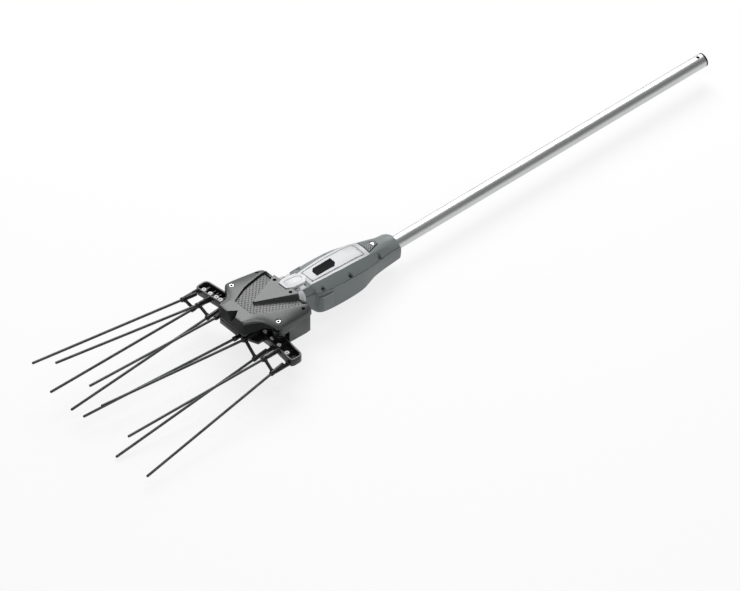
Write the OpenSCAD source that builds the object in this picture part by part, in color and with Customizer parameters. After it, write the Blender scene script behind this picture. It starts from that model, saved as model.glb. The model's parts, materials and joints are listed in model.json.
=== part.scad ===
// Olive harvester attachment: a pole, a gear housing and a head that claps two tined rakes.
// Origin: centre of the tube's free end. +X runs along the pole to the tines, +Y left, +Z up.

/* [Pole] */
// Outside diameter of the pole tube
pole_d = 26; // [24:0.5:28]
// Wall of the pole tube
pole_wall = 1.5; // [1:0.1:2.5]
// Length of tube that shows, from its free end to the housing
pole_len = 730; // [500:5:1000]
// Length of tube held inside the housing
spigot_len = 60; // [45:1:64]
// Width of the plastic ring on the free end
collar_w = 3; // [2:0.5:6]
// Diameter of the lock hole near the free end
lock_hole_d = 7; // [5:0.5:9]
// Distance of the lock hole from the free end
lock_hole_x = 10; // [8:0.5:14]

/* [Drive line] */
// Diameter of the drive shaft
shaft_d = 8; // [7:0.5:9]
// Width across the flats of the shaft's square end
square_af = 5.5; // [4.5:0.1:6]
// Length of the square end
square_len = 22; // [15:1:30]
// Depth of the square end inside the tube
square_depth = 16; // [10:1:25]
// Length of each shaft bush
bush_w = 12; // [8:1:20]
// Number of shaft bushes in the tube
bush_count = 4; // [2:1:6]
// Module of the spur gears
spur_mod = 1.25; // [1.2:0.01:1.3]
// Width of the spur gears
spur_w = 12; // [8:1:14]
// Module of the bevel gears
bevel_mod = 1.5; // [1.4:0.01:1.55]
// Throw of the crank pin
crank_throw = 5; // [4.5:0.1:5.5]
// Diameter of the roller on the crank pin
roller_d = 12; // [11:0.1:13]

/* [Housing] */
// Length of the housing, from the pole to the neck
housing_len = 205; // [200:1:220]
// Width of the housing at its widest
housing_w = 82; // [78:1:88]
// Height of the housing's top above the pole axis
housing_top = 43; // [42:0.5:47]
// Depth of the housing below the pole axis at its front
housing_drop = 17; // [14:0.5:20]
// Radius of the housing's collar around the pole
collar_r = 22; // [20:0.5:25]
// Wall of the plastic shells
shell_wall = 2.5; // [2:0.1:3]
// Length of the neck between the housing and the head
neck_len = 46; // [42:1:52]

/* [Head] */
// Width of the head at its rear corners
head_w = 140; // [134:1:148]
// Height of the lower cover's floor above the pole axis
head_floor = -1; // [-4:0.5:0]
// Height of the top ridge at the rear of the head
ridge_rear = 57; // [55:0.5:60]
// Height of the top ridge at the front of the head
ridge_front = 63; // [60:0.5:66]
// Distance of each rake pivot from the centre line
pivot_y = 62; // [60:0.5:64]
// Diameter of the rake pivot bolts
pivot_d = 10; // [8:0.5:12]

/* [Rakes] */
// Depth of the rake bars, front to back
bar_w = 27; // [24:0.5:32]
// Height of the rake bars
bar_h = 15; // [13:0.5:16]
// Height of the rake bars' underside above the pole axis
bar_z = 8; // [7:0.5:9]
// Wall of the rake bars
bar_wall = 3; // [2:0.1:4]
// Distance of the bars' outer ends from the centre line
bar_reach = 124; // [120:1:130]
// Outside diameter of the tine sockets
socket_d = 8; // [7.5:0.1:9]
// Diameter of the tines
tine_d = 5; // [4:0.1:5.5]
// Length of tine that shows
tine_len = 313; // [200:1:400]
// Depth of the tine in its socket
tine_seat = 28; // [20:1:30]
// Height between the upper and the lower row of tines
layer_gap = 12; // [10:0.5:14]
// Length of the levers that the yoke pushes
lever_arm = 32; // [30:0.5:33]

/* [Hidden] */
$fn = 48;
// Clearances
run_gap = 0.05;
slot_gap = 0.7;
air_gap = 0.4;
eps = 0.01;
big = 400;

// Places along the pole axis
hx = pole_len;
head_x = hx + housing_len + neck_len;
pivot_x = head_x + 70;
front_x = head_x + 125;
pole_r = pole_d / 2;
bore_r = pole_r - pole_wall;
spigot_r = pole_r - 0.2;
shaft_r = shaft_d / 2;

// Gear train: pole axis, layshaft above it, crank axis upright in the head
pinion_teeth = 12;
gear_teeth = 24;
bevel_pinion_teeth = 12;
bevel_gear_teeth = 30;
bevel_face = 8;
lay_z = spur_mod * (pinion_teeth + gear_teeth) / 2;
crank_x = head_x + 34;
// Stretch of the housing's details along the pole when its length changes
housing_ref = 205;
stretch = housing_len / housing_ref;
spur_x = hx + 141 * stretch;
frame_t = 8;
frame_rear_x = spur_x - 3 - frame_t;
frame_front_x = spur_x + spur_w + 3;
frame_clear = 3;
bearing_w = 6;
bearing_wall = 4;
bevel_gear_r = bevel_mod * bevel_gear_teeth / 2;
bevel_back = 4;
neck_bearing_x = head_x - 12;

// Heights in the head
floor_t = 3;
crank_r = 5;
crank_seat_z = head_floor + floor_t;
bridge_z = lay_z + 0.5;
bridge_t = 5;
disc_z = bridge_z + bridge_t + 0.6;
disc_t = 4;
roller_z = disc_z + disc_t + 1;
roller_h = 7;
yoke_z = roller_z + 0.5;
yoke_t = 6;
lever_t = 6;
lever_z = yoke_z - lever_t - 1.5;
yoke_pin_r = 3;
crank_pin_r = 3;
rod_r = 2.5;
rod_y = 20;
rod_post = 4;
rod_half = 22;
lower_seat = 5;
slot_half = roller_d / 2 + slot_gap;
hub_r = 11;
pivot_r = pivot_d / 2;
bush_t = 2;
hub_top = yoke_z + yoke_t - 1;

// Rest phase: the rakes stand nearly closed, with the crank short of the middle of its stroke
crank_phase = -52.5;
pin_x = crank_x + crank_throw * sin(crank_phase);
pin_y = -crank_throw * cos(crank_phase);

// Rake stations, outermost first: distance from the centre line, row (1 upper, -1 lower),
// socket length ahead of the bar, and the tine's yaw outward and pitch upward in degrees
left_tines = [[118.5, -1, 41, 5.1, -6], [90.7, 1, 40, 0.9, 2.5], [70.4, -1, 45, -1.5, -8.5],
  [30.2, 1, 39, -2.8, 4.5], [8, -1, 43, -7.9, -4.4]];
right_tines = [[118.4, 1, 41, 7, 2.4], [97.4, -1, 39, 2.6, -2.5], [90.3, 1, 34, 3, 7.7],
  [63.8, -1, 37, 0, -4.8], [44.3, 1, 35, -4.2, 8]];
left_bar_in = 26;
right_bar_in = 36;
bar_sweep = 6.3;
bar_mid_x = pivot_x + 10.5;
bar_mid_y = 95;
row_z = bar_z + bar_h / 2 + 0.5;
screw_ys = [37, 58, 79, 103];
right_screw_ys = [76, 86, 100, 115];

// Stations of the housing: x, half width, top, bottom, squareness of its upper and lower half
half_w = housing_w / 2;
housing_stations = [
  [hx, collar_r - 2, collar_r - 2, 2 - collar_r, 2, 2],
  [hx + 3, collar_r - 0.5, collar_r - 0.5, 0.5 - collar_r, 2, 2.2],
  [hx + 12, collar_r, collar_r, -collar_r, 2, 2.6],
  [hx + 29, collar_r + 3, collar_r + 5, -collar_r, 2.2, 3],
  [hx + 61 * stretch, collar_r + 6, collar_r + 11, 2 - collar_r, 2.3, 3.2],
  [hx + 88 * stretch, half_w - 7, housing_top - 5, -housing_drop - 3, 2.5, 3.6],
  [hx + 108 * stretch, half_w - 0.5, housing_top - 2, -housing_drop - 2, 2.7, 5],
  [hx + 155 * stretch, half_w, housing_top, -housing_drop - 1, 2.9, 6],
  [hx + housing_len - 5, half_w - 3, housing_top, -housing_drop, 3.2, 7],
  [hx + housing_len, half_w - 5, housing_top - 2, 2 - housing_drop, 3.2, 7]];
neck_half_w = 30;
neck_stations = [
  [hx + housing_len - 20, neck_half_w, housing_top - 3, 2 - housing_drop / 2, 4, 4],
  [head_x + 6, neck_half_w, housing_top + 1, 2 - housing_drop / 2, 4, 4]];
seam_rear = 2;
seam_front = 24;

// Stations of the head: x, half width, ridge height, shoulder height, seam height,
// half width of the ridge, depth of the steep side below the shoulder
head_half = head_w / 2;
seam_z = 34;
nose_seam = seam_z + 2;
head_stations = [
  [head_x - 3, head_half - 6, ridge_rear - 8.5, ridge_rear - 11, seam_z, 56, 10],
  [head_x + 3, head_half, ridge_rear - 6.5, ridge_rear - 10.3, seam_z, 55.5, 10],
  [head_x + 14, head_half + 2, ridge_rear - 4.7, ridge_rear - 9.5, seam_z + 1, 53.5, 10],
  [pivot_x - 14, pivot_y + 13, ridge_rear + 1.1, ridge_rear - 4.5, seam_z + 8.5, 43.5, 8.5],
  [pivot_x + 4, pivot_y + 13.5, ridge_front - 3.2, ridge_rear - 3.5, seam_z + 11, 35.5, 7],
  [pivot_x + 14, pivot_y - 4, ridge_front - 2.5, ridge_rear - 1.5, seam_z + 12, 30.5, 5],
  [pivot_x + 20, pivot_y - 16, ridge_front - 2, ridge_rear, seam_z + 10, 27.5, 3],
  [pivot_x + 30, pivot_y - 22, ridge_front - 1.5, ridge_rear + 2, nose_seam, 24, 3],
  [front_x - 3, pivot_y - 28, ridge_front - 0.4, ridge_front - 1, nose_seam, 24, 3],
  [front_x, pivot_y - 29, ridge_front - 1, ridge_front - 2, nose_seam, 23, 3]];
floor_stations = [
  [head_x - 3, head_half - 16], [head_x + 3, head_half], [head_x + 14, head_half + 1],
  [pivot_x - 16, pivot_y + 8], [pivot_x + 8, pivot_y + 7], [pivot_x + 14, pivot_y - 6],
  [pivot_x + 15, 20]];
wall_end_x = pivot_x - 19;

// General shapes
function signed_pow(v, p) = sign(v) * pow(abs(v), p);
function oval_ring(s, inset, n) = [for (i = [0:n - 1])
  let(a = 360 * (i + 0.5) / n, p = 2 / (a < 180 ? s[4] : s[5]), zc = (s[2] + s[3]) / 2,
      hz = (s[2] - s[3]) / 2 - inset)
  [s[0], (s[1] - inset) * signed_pow(cos(a), p), zc + hz * signed_pow(sin(a), p)]];

// Solid through a list of rings that all have the same number of points
module skin(rings) {
  n = len(rings[0]);
  m = len(rings);
  points = [for (r = rings, p = r) p];
  sides = [for (k = [0:m - 2], i = [0:n - 1], t = [0, 1])
    let(j = (i + 1) % n, a = k * n + i, b = (k + 1) * n + i, c = (k + 1) * n + j, d = k * n + j)
    t == 0 ? [a, b, c] : [a, c, d]];
  first_cap = [for (i = [1:n - 2]) [0, i, i + 1]];
  last_cap = [for (i = [1:n - 2]) [(m - 1) * n, (m - 1) * n + i + 1, (m - 1) * n + i]];
  polyhedron(points = points, faces = concat(first_cap, sides, last_cap), convexity = 8);
}

module oval_loft(stations, inset = 0, n = 40) {
  skin([for (s = stations) oval_ring(s, inset, n)]);
}

function head_ring(s, inset, drop, low) =
  let(w = s[1] - inset, e = s[3] - inset - drop, r = s[2] - inset - drop, z = s[4] - low,
      f = max(e - s[6], z + 0.2), v = w - 3.5)
  [[s[0], w, z], [s[0], w, f], [s[0], v, e], [s[0], s[5], r],
   [s[0], -s[5], r], [s[0], -v, e], [s[0], -w, f], [s[0], -w, z]];

module head_loft(stations, inset = 0, drop = 0, low = 0) {
  skin([for (s = stations) head_ring(s, inset, drop, low)]);
}

module along_x(x, r, l, z = 0, y = 0) {
  translate([x, y, z]) rotate([0, 90, 0]) cylinder(r = r, h = l);
}

module upright(x, y, z, r, h) {
  translate([x, y, z]) cylinder(r = r, h = h);
}

module tube_x(x, ro, ri, l, z = 0) {
  translate([x, 0, z]) rotate([0, 90, 0]) difference() {
    cylinder(r = ro, h = l);
    translate([0, 0, -1]) cylinder(r = ri, h = l + 2);
  }
}

module both_sides() {
  children();
  mirror([0, 1, 0]) children();
}

// Screw with a socketed round head, head top at z = 0, shank downward
module screw(head_r, head_h, shank_r, shank_h) {
  difference() {
    translate([0, 0, -head_h]) cylinder(r = head_r, h = head_h);
    translate([0, 0, -head_h / 2]) cylinder(r = head_r / 2, h = head_h, $fn = 6);
  }
  translate([0, 0, -head_h - shank_h]) cylinder(r = shank_r, h = shank_h + eps);
}

// Spur gear profile with involute flanks
pressure = 20;
spur_backlash = 0.15;
function involute(a) = tan(a) * 180 / PI - a;
function flank_angle(rho, r, teeth) = let(rb = r * cos(pressure))
  90 / teeth - spur_backlash / r * 180 / PI + involute(pressure)
  - (rho > rb ? involute(acos(rb / rho)) : 0);
module spur_outline(m, teeth) {
  r = m * teeth / 2;
  root = r - 1.25 * m;
  tip = r + 0.8 * m;
  radii = [root, r * cos(pressure), r - 0.2 * m, r + 0.3 * m, tip];
  polygon([for (k = [0:teeth - 1], j = [0:9])
    let(rho = j < 5 ? radii[j] : radii[9 - j], a = flank_angle(rho, r, teeth),
        dir = 360 * k / teeth + (j < 5 ? -a : a))
    rho * [cos(dir), sin(dir)]]);
}

// Bevel gear with its cone's point at the origin and its back along +Z
bevel_backlash = 0.3;
module bevel_wheel(teeth, mate, m, bore) {
  r = m * teeth / 2;
  d = m * mate / 2;
  cone = atan(teeth / mate);
  addendum = 0.8 * m;
  dedendum = 1.2 * m;
  small = 1 - bevel_face / sqrt(r * r + d * d);
  half = PI * m / 4 - bevel_backlash;
  root_r = r - dedendum * cos(cone);
  root_z = d + dedendum * sin(cone);
  sunk = 0.3;
  function corner(h, w, s) = s * [r + h * cos(cone), w, d - h * sin(cone)];
  function tooth_ring(s) = [
    corner(addendum, half - addendum * tan(pressure), s),
    corner(-dedendum - sunk, half + dedendum * tan(pressure), s),
    corner(-dedendum - sunk, -half - dedendum * tan(pressure), s),
    corner(addendum, addendum * tan(pressure) - half, s)];
  difference() {
    union() {
      rotate_extrude() polygon([[0, root_z * small], [root_r * small, root_z * small], [root_r, root_z],
        [root_r, root_z + bevel_back], [0, root_z + bevel_back]]);
      for (k = [0:teeth - 1]) rotate([0, 0, 360 * k / teeth]) skin([tooth_ring(small), tooth_ring(1)]);
    }
    translate([0, 0, -1]) cylinder(r = bore, h = root_z + bevel_back + 2);
  }
}

// Pole
module pole_tube() {
  color("gainsboro") difference() {
    union() {
      along_x(0, pole_r, pole_len);
      along_x(pole_len - eps, spigot_r, spigot_len + eps);
    }
    along_x(-1, bore_r, pole_len + spigot_len + 2);
    upright(lock_hole_x, 0, 0, lock_hole_d / 2, pole_r + 5);
  }
}

ring_plug = 4;
ring_inset = 0.05;
module pole_end_ring() {
  color("black") difference() {
    union() {
      along_x(-collar_w, pole_r - ring_inset, collar_w);
      along_x(-eps, bore_r, ring_plug + eps);
    }
    along_x(-collar_w - 1, bore_r - 2, collar_w + ring_plug + 2);
  }
}

bush_first = square_depth + square_len + 20;
bush_step = (pole_len + spigot_len - bush_first - bush_w) / (bush_count - 1);
module shaft_bushes() {
  color("dimgray") for (i = [0:bush_count - 1])
    tube_x(bush_first + i * bush_step, bore_r, shaft_r + run_gap, bush_w);
}

// Drive line
module drive_shaft() {
  flat_x = square_depth + square_len;
  color("silver") {
    along_x(flat_x, shaft_r, frame_front_x + frame_t - flat_x);
    translate([square_depth, -square_af / 2, -square_af / 2]) cube([square_len, square_af, square_af]);
  }
}

module spur_pinion() {
  color("slategray") translate([spur_x, 0, 0]) rotate([0, 90, 0]) difference() {
    linear_extrude(spur_w) spur_outline(spur_mod, pinion_teeth);
    translate([0, 0, -1]) cylinder(r = shaft_r, h = spur_w + 2);
  }
}

lay_r = 5;
lay_start = frame_rear_x;
bevel_pinion_root = bevel_gear_r + 1.2 * bevel_mod * sin(atan(bevel_pinion_teeth / bevel_gear_teeth));
lay_end = crank_x - bevel_pinion_root + 4;
module layshaft() {
  color("silver") along_x(lay_start, lay_r, lay_end - lay_start, lay_z);
}

module spur_gear() {
  color("slategray") translate([spur_x, 0, lay_z]) rotate([0, 90, 0]) difference() {
    rotate([0, 0, 180 / gear_teeth]) linear_extrude(spur_w) spur_outline(spur_mod, gear_teeth);
    translate([0, 0, -1]) cylinder(r = lay_r, h = spur_w + 2);
  }
}

module bevel_pinion() {
  color("slategray") translate([crank_x, 0, lay_z]) rotate([0, -90, 0])
    bevel_wheel(bevel_pinion_teeth, bevel_gear_teeth, bevel_mod, lay_r);
}

// Bearing seats: radius of the bearings on a shaft
function bearing_r(shaft) = shaft + bearing_wall;
frame_half_w = 17;
frame_top = lay_z + bearing_r(lay_r) + frame_clear;
frame_low = -bearing_r(shaft_r) - frame_clear;
module frame_plate(x) {
  difference() {
    translate([x, -frame_half_w, frame_low]) cube([frame_t, 2 * frame_half_w, frame_top - frame_low]);
    along_x(x - 1, bearing_r(shaft_r), frame_t + 2);
    along_x(x - 1, bearing_r(lay_r), frame_t + 2, lay_z);
  }
}

// Two bearing plates joined by two spacer bars
module gearbox_frame() {
  bar = 5;
  color("darkgray") {
    frame_plate(frame_rear_x);
    frame_plate(frame_front_x);
    for (y = [-frame_half_w, frame_half_w - bar])
      translate([frame_rear_x + frame_t - eps, y, frame_low])
        cube([frame_front_x - frame_rear_x - frame_t + 2 * eps, bar, bar]);
  }
}

module gearbox_bearings() {
  color("lightsteelblue") for (x = [frame_rear_x, frame_front_x]) {
    tube_x(x, bearing_r(shaft_r), shaft_r + run_gap, frame_t);
    tube_x(x, bearing_r(lay_r), lay_r + run_gap, frame_t, lay_z);
  }
}

// Bearing block on the neck's floor
neck_block_half = 11;
neck_floor = 2 - housing_drop / 2 + shell_wall;
module neck_bearing() {
  top = lay_z + bearing_r(lay_r);
  color("lightsteelblue") difference() {
    translate([neck_bearing_x, -neck_block_half, neck_floor + air_gap])
      cube([bearing_w, 2 * neck_block_half, top - neck_floor]);
    along_x(neck_bearing_x - 1, lay_r + run_gap, bearing_w + 2, lay_z);
  }
}

// Housing shells: one loft, cut along a seam that rises to the front
module seam_block(upper) {
  lo = upper ? 0 : -big;
  hi = upper ? big : 0;
  rotate([90, 0, 0]) translate([0, 0, -big / 2]) linear_extrude(big) polygon([
    [hx - 5, seam_rear + lo], [head_x + 20, seam_front + lo],
    [head_x + 20, seam_front + hi], [hx - 5, seam_rear + hi]]);
}

inner_stations = [
  [hx + spigot_len + 4, collar_r + 6, collar_r + 11, 2 - collar_r, 2.3, 3.2],
  for (s = housing_stations) if (s[0] > hx + spigot_len + 5 && s[0] < hx + housing_len - 1) s,
  [hx + housing_len - shell_wall, half_w - 5, housing_top - 2, 2 - housing_drop, 3.2, 7]];
neck_inner = [
  [hx + housing_len - 30, for (j = [1:5]) neck_stations[0][j]],
  [head_x + 20, for (j = [1:5]) neck_stations[1][j]]];
module housing_body() {
  difference() {
    union() {
      oval_loft(housing_stations);
      oval_loft(neck_stations, 0, 24);
    }
    oval_loft(inner_stations, shell_wall);
    oval_loft(neck_inner, shell_wall, 24);
    along_x(hx - 1, spigot_r, spigot_len + 2);
    along_x(hx + spigot_len, shaft_r + 3, 30);
  }
}

// Screw pockets on the housing's shoulder: place along, place across, height of the floor
pockets = [[53 * stretch, collar_r + 1, 9], [131 * stretch, half_w - 6, 25],
  [192 * stretch, half_w - 8.5, 30]];
pocket_r = 3.6;
boss_wall = 2;
module pocket_bores() {
  both_sides() for (p = pockets) upright(hx + p[0], p[1], p[2], pocket_r, big);
}

module pocket_bosses(upper) {
  intersection() {
    oval_loft(housing_stations, shell_wall / 2);
    both_sides() for (p = pockets) upright(hx + p[0], p[1], -big, pocket_r + boss_wall, big + p[2] + 2);
    seam_block(upper);
  }
}

inlay_t = 1.6;
module inlay_outline(grow) {
  half = 26 + grow;
  rear = hx + 71 * stretch - grow;
  swell = hx + 90 * stretch;
  full = hx + 116 * stretch;
  front = hx + housing_len - 1 + grow;
  polygon([[rear, -6 - grow], [swell, -half + 7], [full, -half], [front, -half],
    [front, half], [full, half], [swell, half - 7], [rear, 6 + grow]]);
}

// What lies above a copy of the housing lowered by the thickness of a skin
module top_band(sink) {
  difference() {
    linear_extrude(big) children();
    translate([0, 0, -sink]) oval_loft(housing_stations);
  }
}

module housing_upper() {
  color("dimgray") difference() {
    union() {
      intersection() {
        housing_body();
        seam_block(true);
      }
      pocket_bosses(true);
    }
    top_band(inlay_t) inlay_outline(0);
    pocket_bores();
    screw_bores();
    top_band(inlay_t) patch_outline(0);
    clamp_bore();
    trim_bed();
  }
}

// Pedestals under the two plates of the bearing frame
module pedestals() {
  intersection() {
    oval_loft(housing_stations, shell_wall / 2);
    for (x = [frame_rear_x, frame_front_x])
      translate([x, -10, frame_low - big]) cube([frame_t, 20, big]);
  }
}

module housing_lower() {
  color("slategray") difference() {
    union() {
      intersection() {
        housing_body();
        seam_block(false);
      }
      pocket_bosses(false);
      pedestals();
    }
    screw_bores();
  }
}

screw_r = 1.5;
module screw_bores() {
  both_sides() for (p = pockets) upright(hx + p[0], p[1], p[2] - 40, screw_r, 41);
}

module housing_screws() {
  color("silver") both_sides() for (p = pockets)
    translate([hx + p[0], p[1], p[2] + 2]) screw(3, 2, screw_r, 20);
}

module top_inlay() {
  color("gainsboro") intersection() {
    oval_loft(housing_stations);
    top_band(inlay_t) inlay_outline(-air_gap / 4);
  }
}

// Bare badge plate that lies on the inlay
badge_x = 161 * stretch;
badge_l = 46;
badge_w = 19;
badge_t = 0.8;
module badge_plate() {
  cut = 6;
  color("black") translate([hx + badge_x - badge_l / 2, -badge_w / 2, housing_top + eps])
    linear_extrude(badge_t)
    polygon([[0, 0], [badge_l - cut, 0], [badge_l, cut], [badge_l, badge_w],
      [cut, badge_w], [0, badge_w - cut]]);
}

// Triangular clamp patch on top of the collar, with its screw
patch_x = 42 * stretch;
patch_l = 27 * stretch;
patch_half = 13;
module patch_outline(grow) {
  rear = hx + patch_x - grow;
  front = hx + patch_x + patch_l + grow;
  tip = 4 + grow;
  polygon([[rear, -tip], [front, -patch_half - grow], [front, patch_half + grow], [rear, tip]]);
}

clamp_x = hx + patch_x + 7;
clamp_seat = collar_r + 4.3;
clamp_head_r = 3.2;
clamp_shank_r = 2;
clamp_shank = 6;
module clamp_bore() {
  upright(clamp_x, 0, clamp_seat, clamp_head_r + air_gap / 4, big);
  upright(clamp_x, 0, clamp_seat - clamp_shank, clamp_shank_r, big);
}

module clamp_patch() {
  color("gray") difference() {
    intersection() {
      top_band(inlay_t) patch_outline(-air_gap / 4);
      oval_loft(housing_stations);
    }
    clamp_bore();
  }
}

module clamp_screw() {
  head = 5;
  color("silver") translate([clamp_x, 0, clamp_seat + head])
    screw(clamp_head_r, head, clamp_shank_r, clamp_shank);
}

// Pale trim that bridges the housing and the head over the neck
trim_t = 5;
trim_half = 34;
trim_rear = head_x - 40;
trim_front = head_x - 3.2;
trim_z = housing_top - 1;
module trim_outline() {
  polygon([[trim_rear, -12], [trim_rear + 20, -trim_half], [trim_front, -trim_half],
    [trim_front, trim_half], [trim_rear + 20, trim_half], [trim_rear, 12]]);
}

module trim_bed() {
  translate([0, 0, trim_z]) linear_extrude(big) trim_outline();
}

module bridge_trim() {
  leg_l = 11;
  leg_h = 20;
  pad = trim_front - trim_rear - 6;
  color("whitesmoke") {
    translate([0, 0, trim_z]) linear_extrude(trim_t) trim_outline();
    both_sides() translate([trim_front - leg_l, neck_half_w + 0.1, trim_z - leg_h])
      cube([leg_l, trim_half - neck_half_w - 0.1, leg_h + eps]);
    translate([trim_rear + 4, 0, trim_z + trim_t - eps]) linear_extrude(2)
      polygon([[0, -4], [6, -9], [pad - 3, -9], [pad, -5], [pad, 5], [pad - 3, 9], [6, 9], [0, 4]]);
  }
}

// Head
// Cover screws: place along, place across and height of the seat under the screw's head
nose_screw_x = front_x - 30;
cover_screws = [[head_x + 6, 21, ridge_rear - 6], [head_x + 12, 62, ridge_rear - 12],
  [nose_screw_x, 0, ridge_front - 6]];
cover_head_r = 3;
cover_shank_r = 1.8;
channel_depth = 4;
tip_x = pivot_x + 3;
tri_half = 33;
module dotted_channel() {
  front = front_x - 28;
  difference() {
    linear_extrude(big) both_sides()
      polygon([[tip_x, 0], [head_x - 4, tri_half], [head_x - 4, 55], [head_x + 55, 42], [front, 23], [front, 0]]);
    head_loft(head_stations, 0, channel_depth, 40);
  }
}

// Raised triangle between the two legs of the channel
module raised_triangle() {
  low = ridge_rear - 12.5;
  rear = head_x - 3;
  tip = 1.5;
  tri_rear = tri_half * (tip_x - rear) / (tip_x - head_x + 4);
  hull() {
    translate([rear, -tri_rear, low]) cube([eps, 2 * tri_rear, ridge_rear - low]);
    translate([tip_x - tip, -tip / 2, low]) cube([eps, tip, ridge_front - 2 - low]);
  }
}

module notch() {
  translate([0, 0, -big / 2]) linear_extrude(big)
    polygon([[front_x - 16, 0], [front_x + 1, -11], [front_x + 1, 11]]);
}

module head_upper_cover() {
  boss_r = 9.5;
  boss_top = ridge_rear - 4;
  hollow = [for (s = head_stations)
    [s[0] + (s[0] < head_x ? shell_wall : 0) - (s[0] > front_x - 1 ? shell_wall : 0),
     s[1], s[2], s[3], s[4], s[5] - 2, s[6]]];
  color("gray") difference() {
    union() {
      difference() {
        head_loft(head_stations);
        head_loft(hollow, shell_wall, channel_depth, 30);
      }
      raised_triangle();
      both_sides() upright(pivot_x, pivot_y, hub_top + air_gap, boss_r, boss_top - hub_top - air_gap);
    }
    dotted_channel();
    notch();
    both_sides() upright(pivot_x, pivot_y, -1, pivot_r + run_gap, big);
    both_sides() for (p = cover_screws) {
      upright(p[0], p[1], p[2], cover_head_r + air_gap / 2, big);
      upright(p[0], p[1], -1, cover_shank_r, big);
    }
    translate([head_x - 5, -neck_half_w - 0.5, 0]) cube([12, 2 * neck_half_w + 1, housing_top + 1.5]);
  }
}

module head_lower_cover() {
  color("darkslategray") difference() {
    union() {
      intersection() {
        difference() {
          skin([for (s = floor_stations) flat_ring(s[0], s[1], head_floor, big / 4)]);
          skin([for (s = floor_stations) flat_ring(s[0] + (s[0] < head_x ? shell_wall : 0),
            s[1] - shell_wall, head_floor + floor_t, big / 4 + 1)]);
        }
        union() {
          lower_seam();
          translate([head_x - 5, -big / 2, head_floor - 1]) cube([big, big, floor_t + 1]);
        }
      }
      both_sides() apron();
      both_sides() upright(pivot_x, pivot_y, head_floor, 10, bar_z - head_floor - air_gap);
      upright(crank_x, 0, head_floor, bearing_r(crank_r) + 2, floor_t + lower_seat);
    }
    both_sides() upright(pivot_x, pivot_y, head_floor - 1, pivot_r + run_gap, big);
    upright(crank_x, 0, crank_seat_z, bearing_r(crank_r), big);
    translate([head_x - 5, -neck_half_w - 0.5, -housing_drop]) cube([12, 2 * neck_half_w + 1, big]);
  }
}

// Apron of the lower cover round the outside of a rake's hub, above the bar
module apron() {
  low = bar_z + bar_h + 8;
  rear = pivot_x - 27;
  front = pivot_x + 6;
  outer = pivot_y + 13;
  intersection() {
    translate([0, 0, low]) linear_extrude(big) difference() {
      polygon([[rear, outer - 0.7], [pivot_x - 14, outer - 0.2], [pivot_x + 4, outer + 0.2], [front, outer - 3.2],
        [front, outer - 6], [pivot_x - 14, outer - 3.5], [pivot_x - 21, pivot_y + 5.6], [rear, pivot_y + 5.6]]);
      translate([pivot_x, pivot_y]) circle(r = hub_r + air_gap);
    }
    rotate([90, 0, 0]) translate([0, 0, -big / 2]) linear_extrude(big) polygon([[rear, 0], [front, 0],
      [front, seam_z + 10.7], [pivot_x + 4, seam_z + 10.7], [pivot_x - 14, seam_z + 8.2], [rear, seam_z + 5.9]]);
  }
}

// Side walls of the lower cover stop short of the rakes and meet the upper cover's seam
module lower_seam() {
  rotate([90, 0, 0]) translate([0, 0, -big / 2]) linear_extrude(big) polygon([
    [head_x - 5, head_floor - 5], [wall_end_x, head_floor - 5], [wall_end_x, seam_z + 7.3],
    [head_x + 14, seam_z + 0.8], [head_x + 3, seam_z - 0.2], [head_x - 5, seam_z - 0.2]]);
}

function flat_ring(x, w, lo, hi) = [[x, w, lo], [x, w, hi], [x, -w, hi], [x, -w, lo]];

module head_screws() {
  head = 2;
  color("silver") both_sides() for (p = cover_screws)
    translate([p[0], p[1], p[2] + head]) screw(cover_head_r, head, cover_shank_r, 6);
}

// Shoulder bolts that the rakes turn on
module pivot_bolts() {
  color("silver") both_sides() {
    upright(pivot_x, pivot_y, head_floor, pivot_r, ridge_rear - 3 - head_floor);
    upright(pivot_x, pivot_y, ridge_rear - 3 - eps, pivot_r - 1, 1);
  }
}

chin_right = 31;
chin_left = 13;
chin_z = 20;
nose_half = 32;
nose_band = 6;
module nose_block() {
  color("black") {
    translate([front_x - 22, -nose_half, nose_seam - nose_band]) cube([20.5, 2 * nose_half, nose_band]);
    translate([front_x - 18, -chin_right, chin_z])
      cube([17, chin_right + chin_left, nose_seam - nose_band - chin_z + eps]);
  }
}

// Crank: bridge, bearings, crank shaft with its bevel wheel and roller
bridge_half = 34;
module crank_bridge() {
  leg = 6;
  depth = 26;
  x0 = crank_x - depth / 2;
  color("darkgray") difference() {
    union() {
      translate([x0, -bridge_half, bridge_z]) cube([depth, 2 * bridge_half, bridge_t]);
      both_sides() {
        translate([x0, bridge_half - leg, crank_seat_z]) cube([depth, leg, bridge_z - crank_seat_z + eps]);
        translate([crank_x - rod_half, rod_y - 4, bridge_z]) cube([2 * rod_half, 8, bridge_t]);
        for (x = [-rod_half, rod_half - rod_post])
          translate([crank_x + x, rod_y - 3.5, bridge_z + bridge_t - eps])
          cube([rod_post, 7, yoke_z + yoke_t + 1 - bridge_z - bridge_t]);
      }
    }
    upright(crank_x, 0, bridge_z - 1, bearing_r(crank_r), bridge_t + 2);
    both_sides() along_x(crank_x - rod_half - 1, rod_r, 2 * rod_half + 2, yoke_z + yoke_t / 2, rod_y);
  }
}

module crank_bearings() {
  color("lightsteelblue") for (p = [[crank_seat_z, lower_seat], [bridge_z, bridge_t]])
    translate([crank_x, 0, p[0]]) difference() {
      cylinder(r = bearing_r(crank_r), h = p[1]);
      translate([0, 0, -1]) cylinder(r = crank_r + run_gap, h = p[1] + 2);
    }
}

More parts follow.
